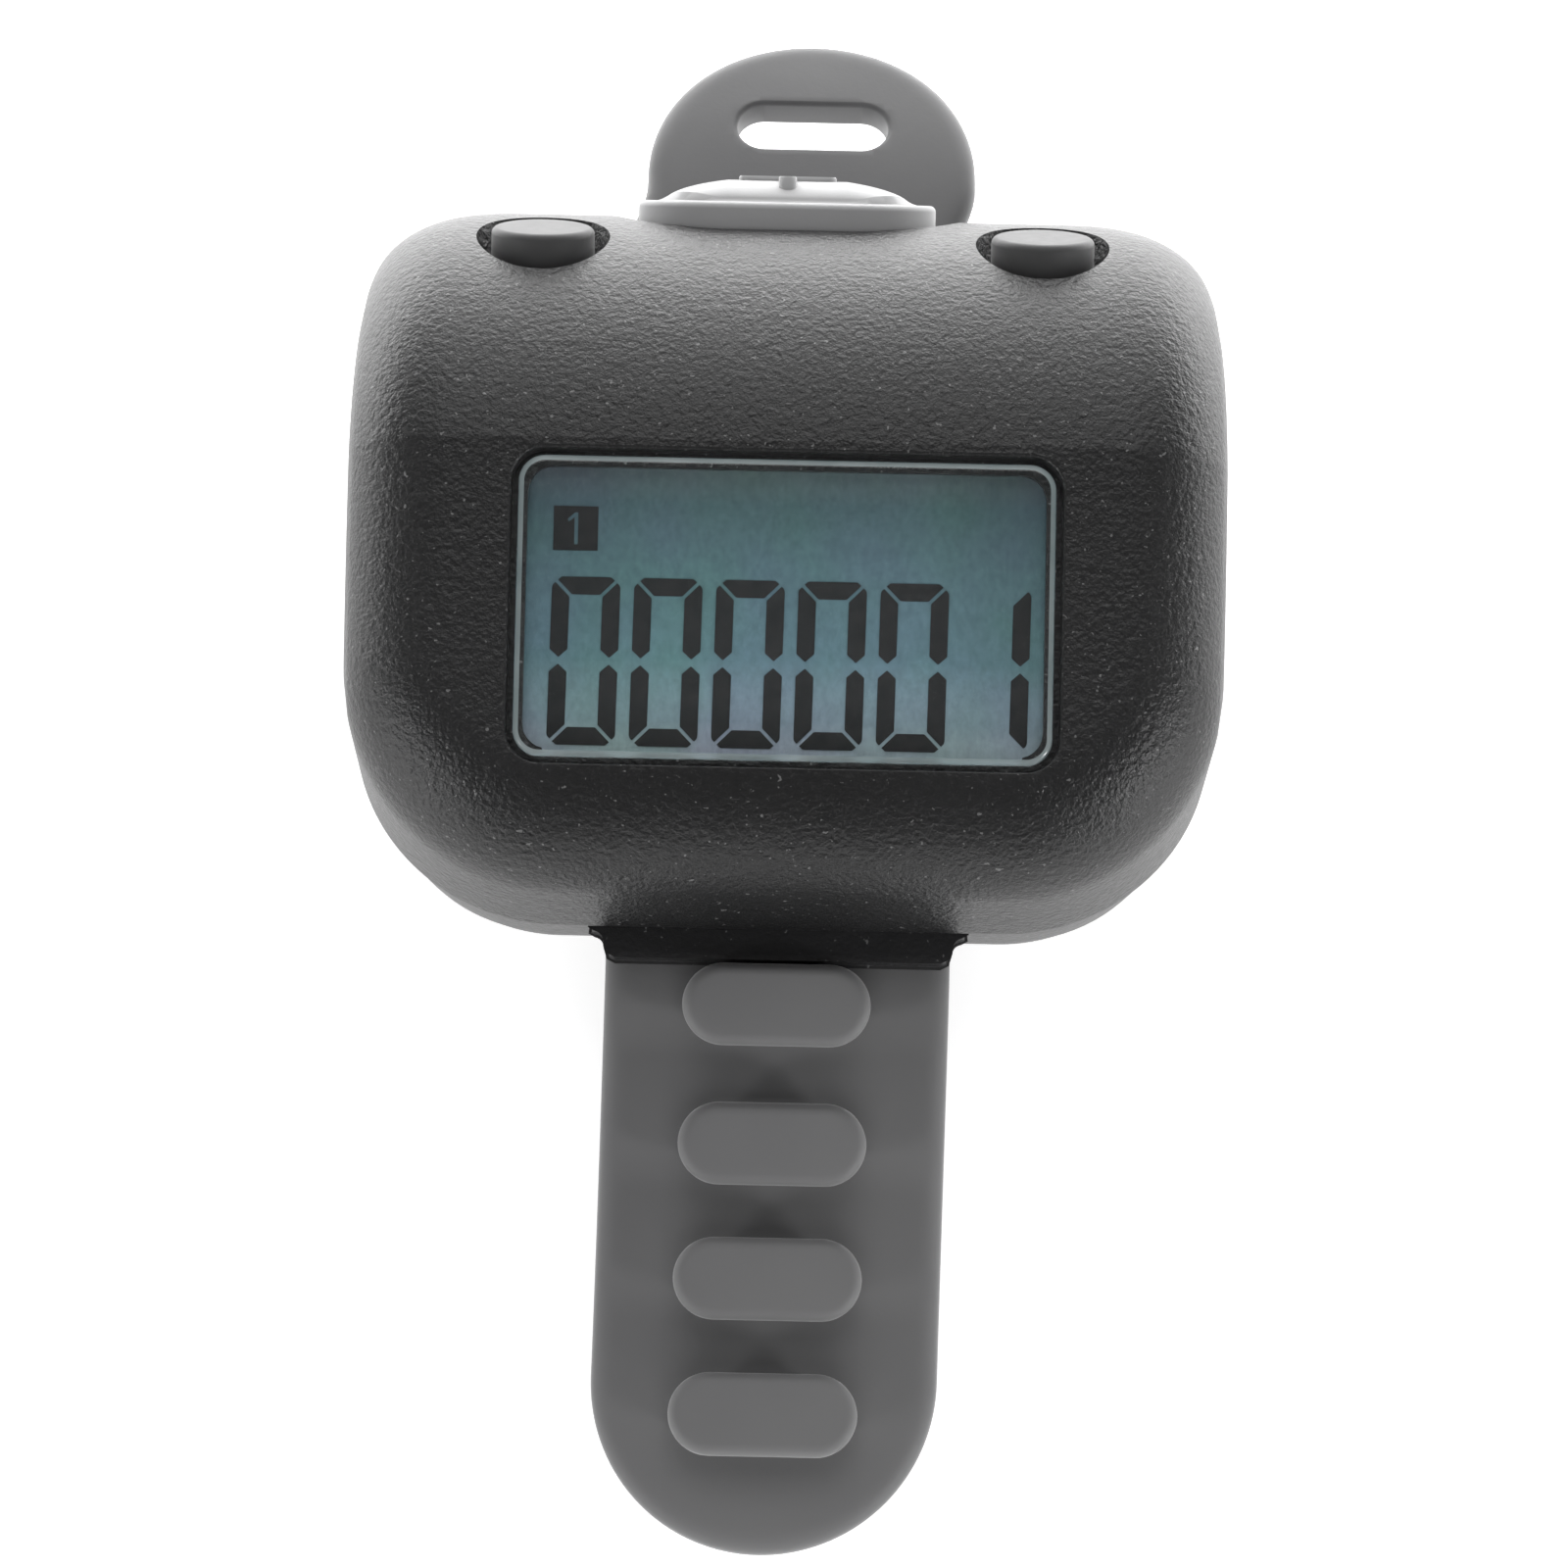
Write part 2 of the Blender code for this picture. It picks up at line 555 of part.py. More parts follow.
def build_bottom_shell():
    corner = [(-16.8 * MM, 1.0 * MM), (-16.5 * MM, 0.3 * MM), (-15.8 * MM, 0.0), (18.2 * MM, 1.0 * MM),
              (17.9 * MM, 0.3 * MM), (17.2 * MM, 0.0)]
    shell = add(housing_mesh("bottom_shell", bottom_form, 0.0, corner), "bottom_shell", BLACK_PLASTIC)

    def cavity_form(x, y, z):
        return np.maximum(bottom_form(x, y, z), BASE_PLATE - BOTTOM_WALL - z)

    cavity = add(housing_mesh("bottom_cavity", cavity_form, BOTTOM_WALL), "bottom_cavity", None)
    reach = 30 * MM
    combine(cavity, box("channel_walls", None, (-CHANNEL_HALF - 1 * MM, -reach, -reach),
                        (CHANNEL_HALF + 1 * MM, reach, FLOOR_TOP)))
    well_top = CELL_Z + CELL_HEIGHT + 0.2 * MM
    combine(cavity, slab("well_block", None, [rounded_rectangle(*WELL_BLOCK, 2 * MM, (0, CELL_Y))],
                         0, well_top))
    combine(cavity, slab("pad", None, [rounded_rectangle(*PAD, 2 * MM, (0, DOOR_Y))], 0, CELL_Z + 1 * MM))
    combine(cavity, cylinder("door_boss", None, BOSS_RADIUS, 0, well_top, (0, DOOR_SCREW_Y)))
    for x_sign in (-1, 1):
        for x, y in (SCREW_FRONT, SCREW_REAR):
            combine(cavity, cylinder("post", None, BOSS_RADIUS, 0, 10 * MM, (x_sign * x, y)))
    combine(shell, cavity)
    combine(shell, seam_cutter("above_seam", above=True))

    channel = box("channel", None, (-CHANNEL_HALF, -reach, -reach), (CHANNEL_HALF, reach, CHANNEL_TOP))
    for name, y in (("front_bar", FRONT_BAR_Y), ("rear_bar", REAR_BAR_Y)):
        combine(channel, box(name, None, (-reach / 2, y - BAR_DEPTH / 2, -reach * 1.1),
                             (reach / 2, y + BAR_DEPTH / 2, BAR_THICK)))
    combine(shell, channel)
    recess = rounded_rectangle(DOOR[0] + 2 * GAP, DOOR[1] + 2 * GAP, 1.8 * MM, (0, DOOR_Y))
    combine(shell, slab("door_recess", None, [recess], 1 * MM, CELL_Z))
    combine(shell, cylinder("cell_well", None, CELL_RADIUS + GAP, 1 * MM, 12 * MM, (0, CELL_Y)))
    combine(shell, cylinder("door_pilot", None, SCREW_SHANK * 0.75 + GAP, 1 * MM, well_top - 0.8 * MM,
                            (0, DOOR_SCREW_Y)))
    combine(shell, box("contact_notch", None, (CELL_RADIUS, CELL_Y - 2 * MM, CELL_Z),
                       (CELL_RADIUS + 2.4 * MM, CELL_Y + 2 * MM, 12 * MM)))
    for x_sign in (-1, 1):
        for x, y in (SCREW_FRONT, SCREW_REAR):
            place = (x_sign * x, y)
            combine(shell, cylinder("screw_hole", None, SCREW_SHANK + GAP, -1 * MM, 8 * MM, place))
            combine(shell, cylinder("screw_counterbore", None, SCREW_HEAD + GAP, -1 * MM, 1.6 * MM, place))

    flare = 1.1 * MM
    shelf = slab("shelf", None, [[(-SHELF_HALF - flare, -16.6 * MM), (-SHELF_HALF - flare, -17.0 * MM),
                                  (-SHELF_HALF - 0.2 * flare, -17.5 * MM), (-SHELF_HALF, SHELF_Y),
                                  (SHELF_HALF, SHELF_Y), (SHELF_HALF + 0.2 * flare, -17.5 * MM),
                                  (SHELF_HALF + flare, -17.0 * MM), (SHELF_HALF + flare, -16.6 * MM)]],
                 SHELF_Z[0], SHELF_Z[1])
    combine(shell, shelf, "UNION")


# ---------------------------------------------------------------- display


def build_display():
    middle = (0, LENS_MIDDLE)
    slab("display_lens", CLEAR_PLASTIC, [rounded_rectangle(*LENS, LENS_CORNER, middle)],
         LENS_BOTTOM, LENS_TOP, face_frame)
    panel = rounded_rectangle(*PANEL, 0.3 * MM, middle, 1)
    slab("display_panel", DISPLAY_GLASS, [panel], *PANEL_Z, face_frame)
    holder_inside = (PANEL[0] - 2 * HOLDER_WALL, PANEL[1] - 2 * HOLDER_WALL)
    outer = rounded_rectangle(*PANEL, 0.6 * MM, middle, 2)
    inner = rounded_rectangle(*holder_inside, 0.4 * MM, middle, 1)
    slab("display_holder", BLACK_PLASTIC, [outer, inner], *HOLDER_Z, face_frame)
    strip_depth = 1.4 * MM
    inside_low = LENS_MIDDLE - holder_inside[1] / 2
    strip_middle = inside_low + GAP + strip_depth / 2
    box("zebra_strip", PINK_RUBBER, (-11 * MM, strip_middle - strip_depth / 2, HOLDER_Z[0]),
        (11 * MM, strip_middle + strip_depth / 2, HOLDER_Z[1]), face_frame)
    backing_low = strip_middle + strip_depth / 2 + GAP
    backing_high = LENS_MIDDLE + holder_inside[1] / 2 - GAP
    box("display_reflector", WHITE_FILM, (-11.5 * MM, backing_low, HOLDER_Z[1] - 0.35 * MM),
        (11.5 * MM, backing_high, HOLDER_Z[1]), face_frame)


# ---------------------------------------------------------------- boards


def build_boards():
    slab("main_board", GREEN_BOARD, [rounded_rectangle(*BOARD, 1 * MM, (0, BOARD_MIDDLE), 2)],
         *BOARD_Z, face_frame)
    under = BOARD_Z[0] - GAP
    blob = [(0, 0), (2.6 * MM, 0), (2.5 * MM, -0.6 * MM), (1.7 * MM, -1.1 * MM), (0, -1.3 * MM)]
    turned("controller_blob", EPOXY, blob, face_frame, (-7.6 * MM, -5 * MM, under))
    cylinder("clock_crystal", STEEL, 0.9 * MM, under - 4 * MM, under, (10.2 * MM, -2.2 * MM), face_frame)
    key_board = [rounded_rectangle(2 * KEY_BOARD_HALF, KEY_BOARD_DOWN - KEY_BOARD_UP, 0.8 * MM,
                                   (0, (KEY_BOARD_UP + KEY_BOARD_DOWN) / 2), 2)]
    slab("key_board", GREEN_BOARD, key_board, -KEY_BOARD_THICK, 0, board_frame)
    ribbon = [(2.8 * MM, 12.0 * MM), (3.2 * MM, 10.6 * MM), (4.4 * MM, 10.0 * MM), (5.5 * MM, 10.7 * MM)]
    slab("board_ribbon", RIBBON, [ribbon_outline(ribbon, 0.3 * MM)], -4 * MM, 4 * MM, turned_up=True)


# ---------------------------------------------------------------- keys


def build_switch(name, axis, depth, flange_low):
    """A push switch over the key board and its plunger, which reaches the key."""
    low = -depth + SWITCH_STANDOFF
    high = low + SWITCH_HEIGHT
    switch = slab(name + "_switch", EPOXY, [rounded_rectangle(*SWITCH, 0.3 * MM, steps=1)], low, high, axis)
    bore = cylinder(name + "_bore", None, PLUNGER_RADIUS + GAP, low - 1 * MM, high + 1 * MM, parent=axis)
    combine(switch, bore)
    cylinder(name + "_plunger", STEEL, PLUNGER_RADIUS, high - 0.45 * MM, flange_low - GAP, parent=axis)


def build_small_key(name, axis):
    low, high = KEY_FLANGE_Z
    profile = [
        (0, KEY_TOP),
        (KEY_RADIUS - 0.45 * MM, KEY_TOP),
        (KEY_RADIUS - 0.12 * MM, KEY_TOP - 0.15 * MM),
        (KEY_RADIUS, KEY_TOP - 0.5 * MM),
        (KEY_RADIUS, high),
        (KEY_FLANGE_RADIUS, high),
        (KEY_FLANGE_RADIUS, low),
        (0, low),
    ]
    turned(name, KEY_SILICONE, profile, axis)


def build_count_button():
    low, high = COUNT_FLANGE_Z
    button = slab("count_button", KEY_SILICONE, [stadium(COUNT_COLLAR, -0.25 * MM)], high - 0.05 * MM,
                  COUNT_COLLAR_TOP, count_axis)
    collar = slab("count_collar", None, [stadium(COUNT_COLLAR)], high, COUNT_COLLAR_TOP - 0.35 * MM,
                  count_axis)
    flange = slab("count_flange", None, [rounded_rectangle(*COUNT_FLANGE, 1.5 * MM)], low, high + 0.1 * MM,
                  count_axis)
    combine(button, collar, "UNION")
    combine(button, flange, "UNION")
    steps = 4
    for step in range(steps):
        rise = math.sin(math.pi / 2 * (step + 1) / steps)
        shrink = 1 - math.cos(math.pi / 2 * step / steps)
        top = COUNT_COLLAR_TOP + (COUNT_DOME_TOP - COUNT_COLLAR_TOP) * rise
        tier = slab("dome_tier", None, [stadium(COUNT_DOME, -shrink * 2.2 * MM)], COUNT_COLLAR_TOP - 0.4 * MM,
                    top, count_axis)
        combine(button, tier, "UNION")


def build_keys():
    build_small_key("reset_button", reset_axis)
    build_small_key("channel_button", channel_axis)
    build_count_button()
    build_switch("reset", reset_axis, KEY_BOARD_DEPTH, KEY_FLANGE_Z[0])
    build_switch("channel", channel_axis, KEY_BOARD_DEPTH, KEY_FLANGE_Z[0])
    build_switch("count", count_axis, COUNT_BOARD_DEPTH, COUNT_FLANGE_Z[0])


# ---------------------------------------------------------------- battery


def build_battery():
    rim = 0.5 * MM
    cell = [
        (0, CELL_HEIGHT),
        (CELL_RADIUS - 1.0 * MM, CELL_HEIGHT),
        (CELL_RADIUS - 1.0 * MM, CELL_HEIGHT - rim),
        (CELL_RADIUS - 0.2 * MM, CELL_HEIGHT - rim),
        (CELL_RADIUS, CELL_HEIGHT - rim - 0.2 * MM),
        (CELL_RADIUS, 0.2 * MM),
        (CELL_RADIUS - 0.2 * MM, 0),
        (0, 0),
    ]
    turned("button_cell", STEEL, cell, location=(0, CELL_Y, CELL_Z))
    door_low = CHANNEL_TOP
    door = slab("battery_door", BLACK_PLASTIC, [rounded_rectangle(*DOOR, 1.5 * MM, (0, DOOR_Y))],
                door_low, door_low + DOOR_THICK)
    combine(door, cylinder("door_screw_hole", None, SCREW_SHANK + GAP, 0, 12 * MM, (0, DOOR_SCREW_Y)))
    combine(door, cylinder("door_screw_seat", None, 1.3 * MM + GAP, door_low - 1 * MM, door_low + 0.5 * MM,
                           (0, DOOR_SCREW_Y)))
    head = 1.3 * MM
    shank = SCREW_SHANK * 0.75
    screw = [(0, 3.4 * MM), (shank, 3.1 * MM), (shank, 0.5 * MM), (head, 0.2 * MM), (head, 0), (0, 0)]
    turned("battery_door_screw", STEEL, screw, location=(0, DOOR_SCREW_Y, door_low))

    cell_top = CELL_Z + CELL_HEIGHT
    leaf = [(-7.6 * MM, 9.7 * MM), (-7.0 * MM, 9.5 * MM), (-3.2 * MM, cell_top + 0.5 * MM),
            (-0.8 * MM, cell_top + 0.9 * MM)]
    spring = ribbon_outline(leaf, 0.25 * MM)
    slab("cell_contact_negative", STEEL, [spring], -1.5 * MM, 1.5 * MM, turned_up=True)
    side = CELL_RADIUS + GAP
    half = 1.6 * MM
    box("cell_contact_positive", STEEL, (side, CELL_Y - half, CELL_Z + GAP),
        (side + 0.3 * MM, CELL_Y + half, 10.5 * MM))


# ---------------------------------------------------------------- screws


def build_case_screws():
    length = 7.4 * MM
    number = 0
    for x_sign in (-1, 1):
        for x, y in (SCREW_FRONT, SCREW_REAR):
            number += 1
            profile = [(0, length), (SCREW_SHANK, length - 0.8 * MM), (SCREW_SHANK, 1.15 * MM),
                       (SCREW_HEAD, 1.15 * MM), (SCREW_HEAD, 0.25 * MM), (SCREW_HEAD - 0.3 * MM, 0), (0, 0)]
            turned(f"case_screw_{number}", STEEL, profile, location=(x_sign * x, y, 0.15 * MM))


# ---------------------------------------------------------------- strap


def strap_mesh(name, path, pivot_y, length):
    """A strip along the path with a round root about the pivot and a round tip, in the pivot's own frame."""
    half = STRAP_WIDTH / 2
    rows = []
    root = STRAP_THICK / 2
    for step in range(1, 5):
        s = -root * math.cos(math.pi / 2 * step / 4 * 0.98 + 0.02)
        rows.append((s, half, math.sqrt(root**2 - s**2)))
    straight_end = length - half
    count = 8
    for step in range(1, count + 1):
        rows.append((straight_end * step / count, half, root))
    tip_steps = 7
    for step in range(1, tip_steps + 1):
        angle = math.pi / 2 * step / tip_steps * 0.985
        rows.append((straight_end + half * math.sin(angle), half * math.cos(angle), root))

    def build(shape):
        loops = []
        for s, width, thick in rows:
            y, z, dip = path(max(s, 0.0))
            sign = 1 if path is rear_path else -1
            if s < 0:
                y += sign * s * math.cos(dip)
                z -= s * math.sin(dip)
            y -= pivot_y
            z -= STRAP_Z
            up_y, up_z = sign * math.sin(dip), math.cos(dip)
            loop = []
            for x, level in ((width, thick), (-width, thick), (-width, -thick), (width, -thick)):
                loop.append(shape.verts.new((x, y + up_y * level, z + up_z * level)))
            loops.append(loop)
        for near, far in zip(loops, loops[1:]):
            for j in range(4):
                k = (j + 1) % 4
                shape.faces.new((near[j], near[k], far[k], far[j]))
        shape.faces.new(loops[0])
        shape.faces.new(loops[-1])

    return mesh_of(build, name)


def build_strap():
    box("strap_middle", STRAP_SILICONE,
        (-STRAP_WIDTH / 2, FRONT_PIVOT_Y + STRAP_THICK / 2 + GAP, STRAP_Z - STRAP_THICK / 2),
        (STRAP_WIDTH / 2, REAR_PIVOT_Y - STRAP_THICK / 2 - GAP, STRAP_Z + STRAP_THICK / 2))

    front = add(strap_mesh("strap_front", front_path, FRONT_PIVOT_Y, FRONT_LENGTH), "strap_front",
                STRAP_SILICONE, front_pivot)
    root = STRAP_THICK / 2
    for number in range(STUD_COUNT):
        y, z, dip = front_path(FRONT_LENGTH - STUD_FROM_TIP - STUD_PITCH * number)
        stud_frame = empty(f"stud_{number}", front_pivot, (0, y - FRONT_PIVOT_Y, z - STRAP_Z), dip)
        stem = slab("stud_stem", None, [stadium(STUD_STEM, steps=5)], root - 0.3 * MM,
                    root + STUD_STEM_HEIGHT + 0.2 * MM, stud_frame)
        cap_low = root + STUD_STEM_HEIGHT
        cap = slab("stud_cap", None, [stadium(STUD_CAP, steps=5)], cap_low,
                   cap_low + STUD_CAP_HEIGHT - 0.4 * MM, stud_frame)
        crown = slab("stud_crown", None, [stadium(STUD_CAP, -0.4 * MM, steps=5)], cap_low + 0.2 * MM,
                     cap_low + STUD_CAP_HEIGHT, stud_frame)
        for piece in (stem, cap, crown):
            combine(front, piece, "UNION")

    rear = add(strap_mesh("strap_rear", rear_path, REAR_PIVOT_Y, REAR_LENGTH), "strap_rear",
               STRAP_SILICONE, rear_pivot)
    y, z, dip = rear_path(REAR_LENGTH - SLOT_FROM_TIP)
    slot_frame = empty("slot_frame", rear_pivot, (0, y - REAR_PIVOT_Y, z - STRAP_Z), -dip)
    combine(rear, slab("strap_slot", None, [stadium(SLOT_SIZE, steps=5)], -3 * MM, 3 * MM, slot_frame))


build_front_shell()
build_bottom_shell()
build_display()
build_boards()
build_keys()
build_battery()
build_case_screws()
build_strap()
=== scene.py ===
"""Looks of the finger tally counter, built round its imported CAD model.

Shapes are drawn in the housing's own frame: underside at height 0, display up, and the strap's stud end
towards -Y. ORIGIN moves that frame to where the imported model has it.
"""

import json
import math

import bmesh
import bpy
import numpy as np
from mathutils import Matrix, Vector


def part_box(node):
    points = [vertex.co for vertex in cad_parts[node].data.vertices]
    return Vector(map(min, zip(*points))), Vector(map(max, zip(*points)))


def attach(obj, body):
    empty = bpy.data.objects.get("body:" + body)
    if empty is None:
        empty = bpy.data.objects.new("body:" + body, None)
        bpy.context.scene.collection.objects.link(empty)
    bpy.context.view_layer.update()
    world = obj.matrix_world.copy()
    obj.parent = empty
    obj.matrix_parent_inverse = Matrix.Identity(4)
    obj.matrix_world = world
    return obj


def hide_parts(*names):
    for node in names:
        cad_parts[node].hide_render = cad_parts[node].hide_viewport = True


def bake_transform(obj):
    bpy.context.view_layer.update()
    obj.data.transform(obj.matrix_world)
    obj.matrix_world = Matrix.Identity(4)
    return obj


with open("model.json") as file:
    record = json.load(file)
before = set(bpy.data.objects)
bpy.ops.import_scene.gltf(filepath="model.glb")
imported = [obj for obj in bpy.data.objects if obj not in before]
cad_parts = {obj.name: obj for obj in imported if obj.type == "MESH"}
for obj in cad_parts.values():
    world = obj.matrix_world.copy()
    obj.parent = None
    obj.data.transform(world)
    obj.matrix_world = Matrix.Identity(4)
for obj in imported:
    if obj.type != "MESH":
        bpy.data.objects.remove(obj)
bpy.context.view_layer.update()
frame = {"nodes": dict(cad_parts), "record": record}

MM = 0.001
GAP = 0.3 * MM

# Housing
HALF_WIDTH = 20.0 * MM
FRONT_Y = -17.5 * MM
REAR_Y = 19.6 * MM
FRONT_CORNER = 9.5 * MM
REAR_CORNER = 7.0 * MM
SIDE_CROWN = 0.25 * MM
TOP_FILLET = 4.8 * MM
WALL = 1.6 * MM
CREASE_Y = 1.03 * MM
CREASE_Z = 19.49 * MM
FACE_SLOPE = math.radians(12.5)
TOP_RADIUS = 15.0 * MM
TOP_START = math.radians(-4.0)
TOP_END = math.radians(68.0)
BACK_RADIUS = 50.0 * MM
BACK_END = math.radians(82.0)
SEAM_FRONT_Z = 4.8 * MM
SEAM_REAR_Z = 3.6 * MM
SEAM_SLOPE = (SEAM_REAR_Z - SEAM_FRONT_Z) / (REAR_Y - FRONT_Y)
BOTTOM_STEP = 0.35 * MM
BOTTOM_DRAFT = math.tan(math.radians(5.0))
BOTTOM_EDGE = 0.8 * MM
SEAM_ROUND = 0.22 * MM

# Strap
STRAP_WIDTH = 16.1 * MM
STRAP_THICK = 1.8 * MM
STRAP_Z = 1.9 * MM
CHANNEL_TOP = STRAP_Z + STRAP_THICK / 2 + GAP
CHANNEL_HALF = STRAP_WIDTH / 2 + GAP
BAR_THICK = 0.7 * MM
BAR_DEPTH = 3.0 * MM
BAR_YS = (-15.0 * MM, 15.6 * MM)
FRONT_PIVOT_Y = -18.6 * MM
REAR_PIVOT_Y = 19.2 * MM
FRONT_LENGTH = 27.1 * MM
FRONT_STRAIGHT = 8.0 * MM
FRONT_DIP = math.radians(15.7)
FRONT_BEND = 1 / (85.0 * MM)
REAR_LENGTH = 10.7 * MM
REAR_STRAIGHT = 0.5 * MM
REAR_DIP = math.radians(4.9)
REAR_BEND = -1 / (35.5 * MM)
SLOT_SIZE = (7.4 * MM, 2.7 * MM)
SLOT_FROM_TIP = 5.5 * MM
STUD_PITCH = 6.42 * MM
STUD_FROM_TIP = 6.3 * MM
STUD_CAP = (8.7 * MM, 3.8 * MM)
STUD_STEM = (7.2 * MM, 2.6 * MM)
STUD_STEM_HEIGHT = 1.3 * MM
STUD_CAP_HEIGHT = 1.3 * MM
SHELF_HALF = 7.95 * MM
SHELF_Y = -18.6 * MM
SHELF_Z = (3.3 * MM, 4.45 * MM)
STRAP_MIDDLE_START = FRONT_PIVOT_Y + STRAP_THICK / 2 + GAP
STRAP_MIDDLE_LOW = Vector((-STRAP_WIDTH / 2, STRAP_MIDDLE_START, STRAP_Z - STRAP_THICK / 2))

# Display, in the face's frame
LENS = (24.0 * MM, 13.5 * MM)
LENS_MIDDLE = -7.49 * MM
LENS_CORNER = 1.2 * MM
LENS_TOP = -0.05 * MM
LENS_BOTTOM = -0.9 * MM
POCKET_DEPTH = 1.2 * MM
WINDOW = (23.2 * MM, 12.7 * MM)
PANEL = (25.0 * MM, 14.8 * MM)
PANEL_TOP = -1.9 * MM
DIGIT = (3.07 * MM, 7.56 * MM)
DIGIT_PITCH = 3.68 * MM
DIGIT_LEFT = -10.5 * MM
DIGIT_BOTTOM = LENS_MIDDLE - LENS[1] / 2 + 0.66 * MM
DIGIT_LEAN = 0.014
BAR = 0.8 * MM
BAR_GAP = 0.075 * MM
CHAMFER = 0.3 * MM
SIGN_SIZE = 2.0 * MM
SIGN_LOW = (-10.45 * MM, LENS_MIDDLE + LENS[1] / 2 - 4.1 * MM)
FIGURES = {"0": "abcdef", "1": "bc"}

# Keys
KEY_PLACE = math.radians(44.0)
KEY_ANGLE = math.radians(57.0)
KEY_SPACING = 11.5 * MM
KEY_RADIUS = 2.375 * MM
KEY_TOP = 0.5 * MM
WELL_RADII = (3.3 * MM, 2.85 * MM)
WELL_DEPTH = 1.0 * MM
COUNT_PLACE = math.radians(67.0)
COUNT_X = -0.3 * MM
COUNT_ANGLE = math.radians(66.0)
COUNT_COLLAR = (14.0 * MM, 8.0 * MM)
COUNT_DOME = (11.4 * MM, 5.8 * MM)
COUNT_DISH = (16.4 * MM, 9.4 * MM)
COUNT_COLLAR_TOP = 0.7 * MM
COUNT_DOME_TOP = 1.9 * MM
PLUS_ARM = 0.42 * MM
PLUS_REACH = 2.3 * MM

# Screws under the housing
SCREW_PLACES = ((15.6 * MM, -9.5 * MM), (16.5 * MM, 8.6 * MM))

# Studio: each lamp is a name, size, power, place and target
FLOOR_HALF = 3.0
FLOOR_GLOW = (0.66, 5.2)
GLOW_REACH = (5 * MM, 90 * MM)
WORLD_FRONT = 0.07
WORLD_BACK = 0.9
FILL_LAMP = "front_fill"
LAMPS = (
    ("back_softbox", (0.9, 0.4), 3.5, (0.0, 0.8, 0.26), (0, 0.01, 0.01)),
    (FILL_LAMP, (0.5, 0.5), 1.5, (0.0, -0.45, 0.42), (0, -0.02, 0.0)),
    ("left_softbox", (0.13, 0.13), 1.5, (-0.6, -0.4, 0.18), (0, 0, 0.01)),
    ("right_softbox", (0.13, 0.13), 1.9, (0.6, -0.4, 0.18), (0, 0, 0.01)),
    ("overhead_softbox", (0.5, 0.5), 1.3, (0.0, 0.35, 0.8), (0, -0.02, 0.0)),
)

# Camera
ELEVATION = math.radians(72.71)
ROLL = math.radians(1.22)
DISTANCE = 230 * MM
FIELD_OF_VIEW = math.radians(17.825)
TARGET = Vector((0.12 * MM, -11.34 * MM, 8.0 * MM))

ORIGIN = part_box("strap_middle")[0] - STRAP_MIDDLE_LOW
ORIGIN.x = 0.0


# ---------------------------------------------------------------- meshes


def loft(loops, matrix=None):
    """A closed mesh through closed loops of equally many points."""
    shape = bmesh.new()
    rows = [[shape.verts.new(point) for point in loop] for loop in loops]
    for near, far in zip(rows, rows[1:]):
        for j in range(len(near)):
            k = (j + 1) % len(near)
            shape.faces.new((near[j], near[k], far[k], far[j]))
    shape.faces.new(rows[0])
    shape.faces.new(rows[-1])
    return finished(shape, matrix)


def finished(shape, matrix=None):
    """The bmesh as a mesh that faces out."""
    if matrix is not None:
        shape.transform(matrix)
    bmesh.ops.recalc_face_normals(shape, faces=shape.faces)
    if shape.calc_volume(signed=True) < 0:
        bmesh.ops.reverse_faces(shape, faces=shape.faces)
    mesh = bpy.data.meshes.new("shape")
    shape.to_mesh(mesh)
    shape.free()
    return mesh


def temporary(mesh):
    """The mesh as an object that lasts only for a cut."""
    made = bpy.data.objects.new("temporary", mesh)
    bpy.context.scene.collection.objects.link(made)
    return made


def boolean(mesh, other, operation="DIFFERENCE"):
    """The mesh with another cut from it or joined to it."""
    base, tool = temporary(mesh), temporary(other)
    modifier = base.modifiers.new("cut", "BOOLEAN")
    modifier.operation = operation
    modifier.object = tool
    modifier.solver = "MANIFOLD"
    graph = bpy.context.evaluated_depsgraph_get()
    result = bpy.data.meshes.new_from_object(base.evaluated_get(graph))
    if not result.polygons:
        raise RuntimeError(f"a {operation.lower()} left nothing")
    bpy.data.objects.remove(base)
    bpy.data.objects.remove(tool)
    return result


def rounded_rectangle(width, height, radius, middle=(0, 0), steps=10):
    """Points round a rectangle with round corners, so many steps to a corner."""
    points = []
    for corner, (sx, sy) in enumerate(((1, 1), (-1, 1), (-1, -1), (1, -1))):
        for step in range(steps + 1):
            angle = math.pi / 2 * (corner + step / steps)
            x = sx * (width / 2 - radius) + radius * math.cos(angle)
            y = sy * (height / 2 - radius) + radius * math.sin(angle)
            points.append((middle[0] + x, middle[1] + y))
    return points


def stadium(size, grow=0.0):
    """Points round a bar with round ends; its radius is a hair short, so that no two points meet."""
    width, height = size[0] + 2 * grow, size[1] + 2 * grow
    return rounded_rectangle(width, height, min(width, height) / 2 * 0.9995, steps=14)


def raised(outline, z):
    return [(x, y, z) for x, y in outline]


def stacked(make_outline, profile, matrix=None):
    """A solid from outlines grown by so much at each height, for (grow, height) pairs."""
    return loft([raised(make_outline(grow), z) for grow, z in profile], matrix)


def prism(outline, low, high, matrix=None):
    """A solid of one outline between two heights."""
    return loft([raised(outline, low), raised(outline, high)], matrix)


def arc(middle, radius, start, end, steps):
    """Points (a, b) on an arc between two angles in degrees."""
    angles = np.radians(np.linspace(start, end, steps + 1))
    return [(middle[0] + radius * math.cos(a), middle[1] + radius * math.sin(a)) for a in angles]


def lathe(profile, steps=72, matrix=None):
    """A round solid from (radius, height) pairs."""
    loops = []
    for radius, height in profile:
        turn = np.linspace(0, 2 * math.pi, steps, endpoint=False)
        loops.append([(radius * math.cos(a), radius * math.sin(a), height) for a in turn])
    return loft(loops, matrix=matrix)


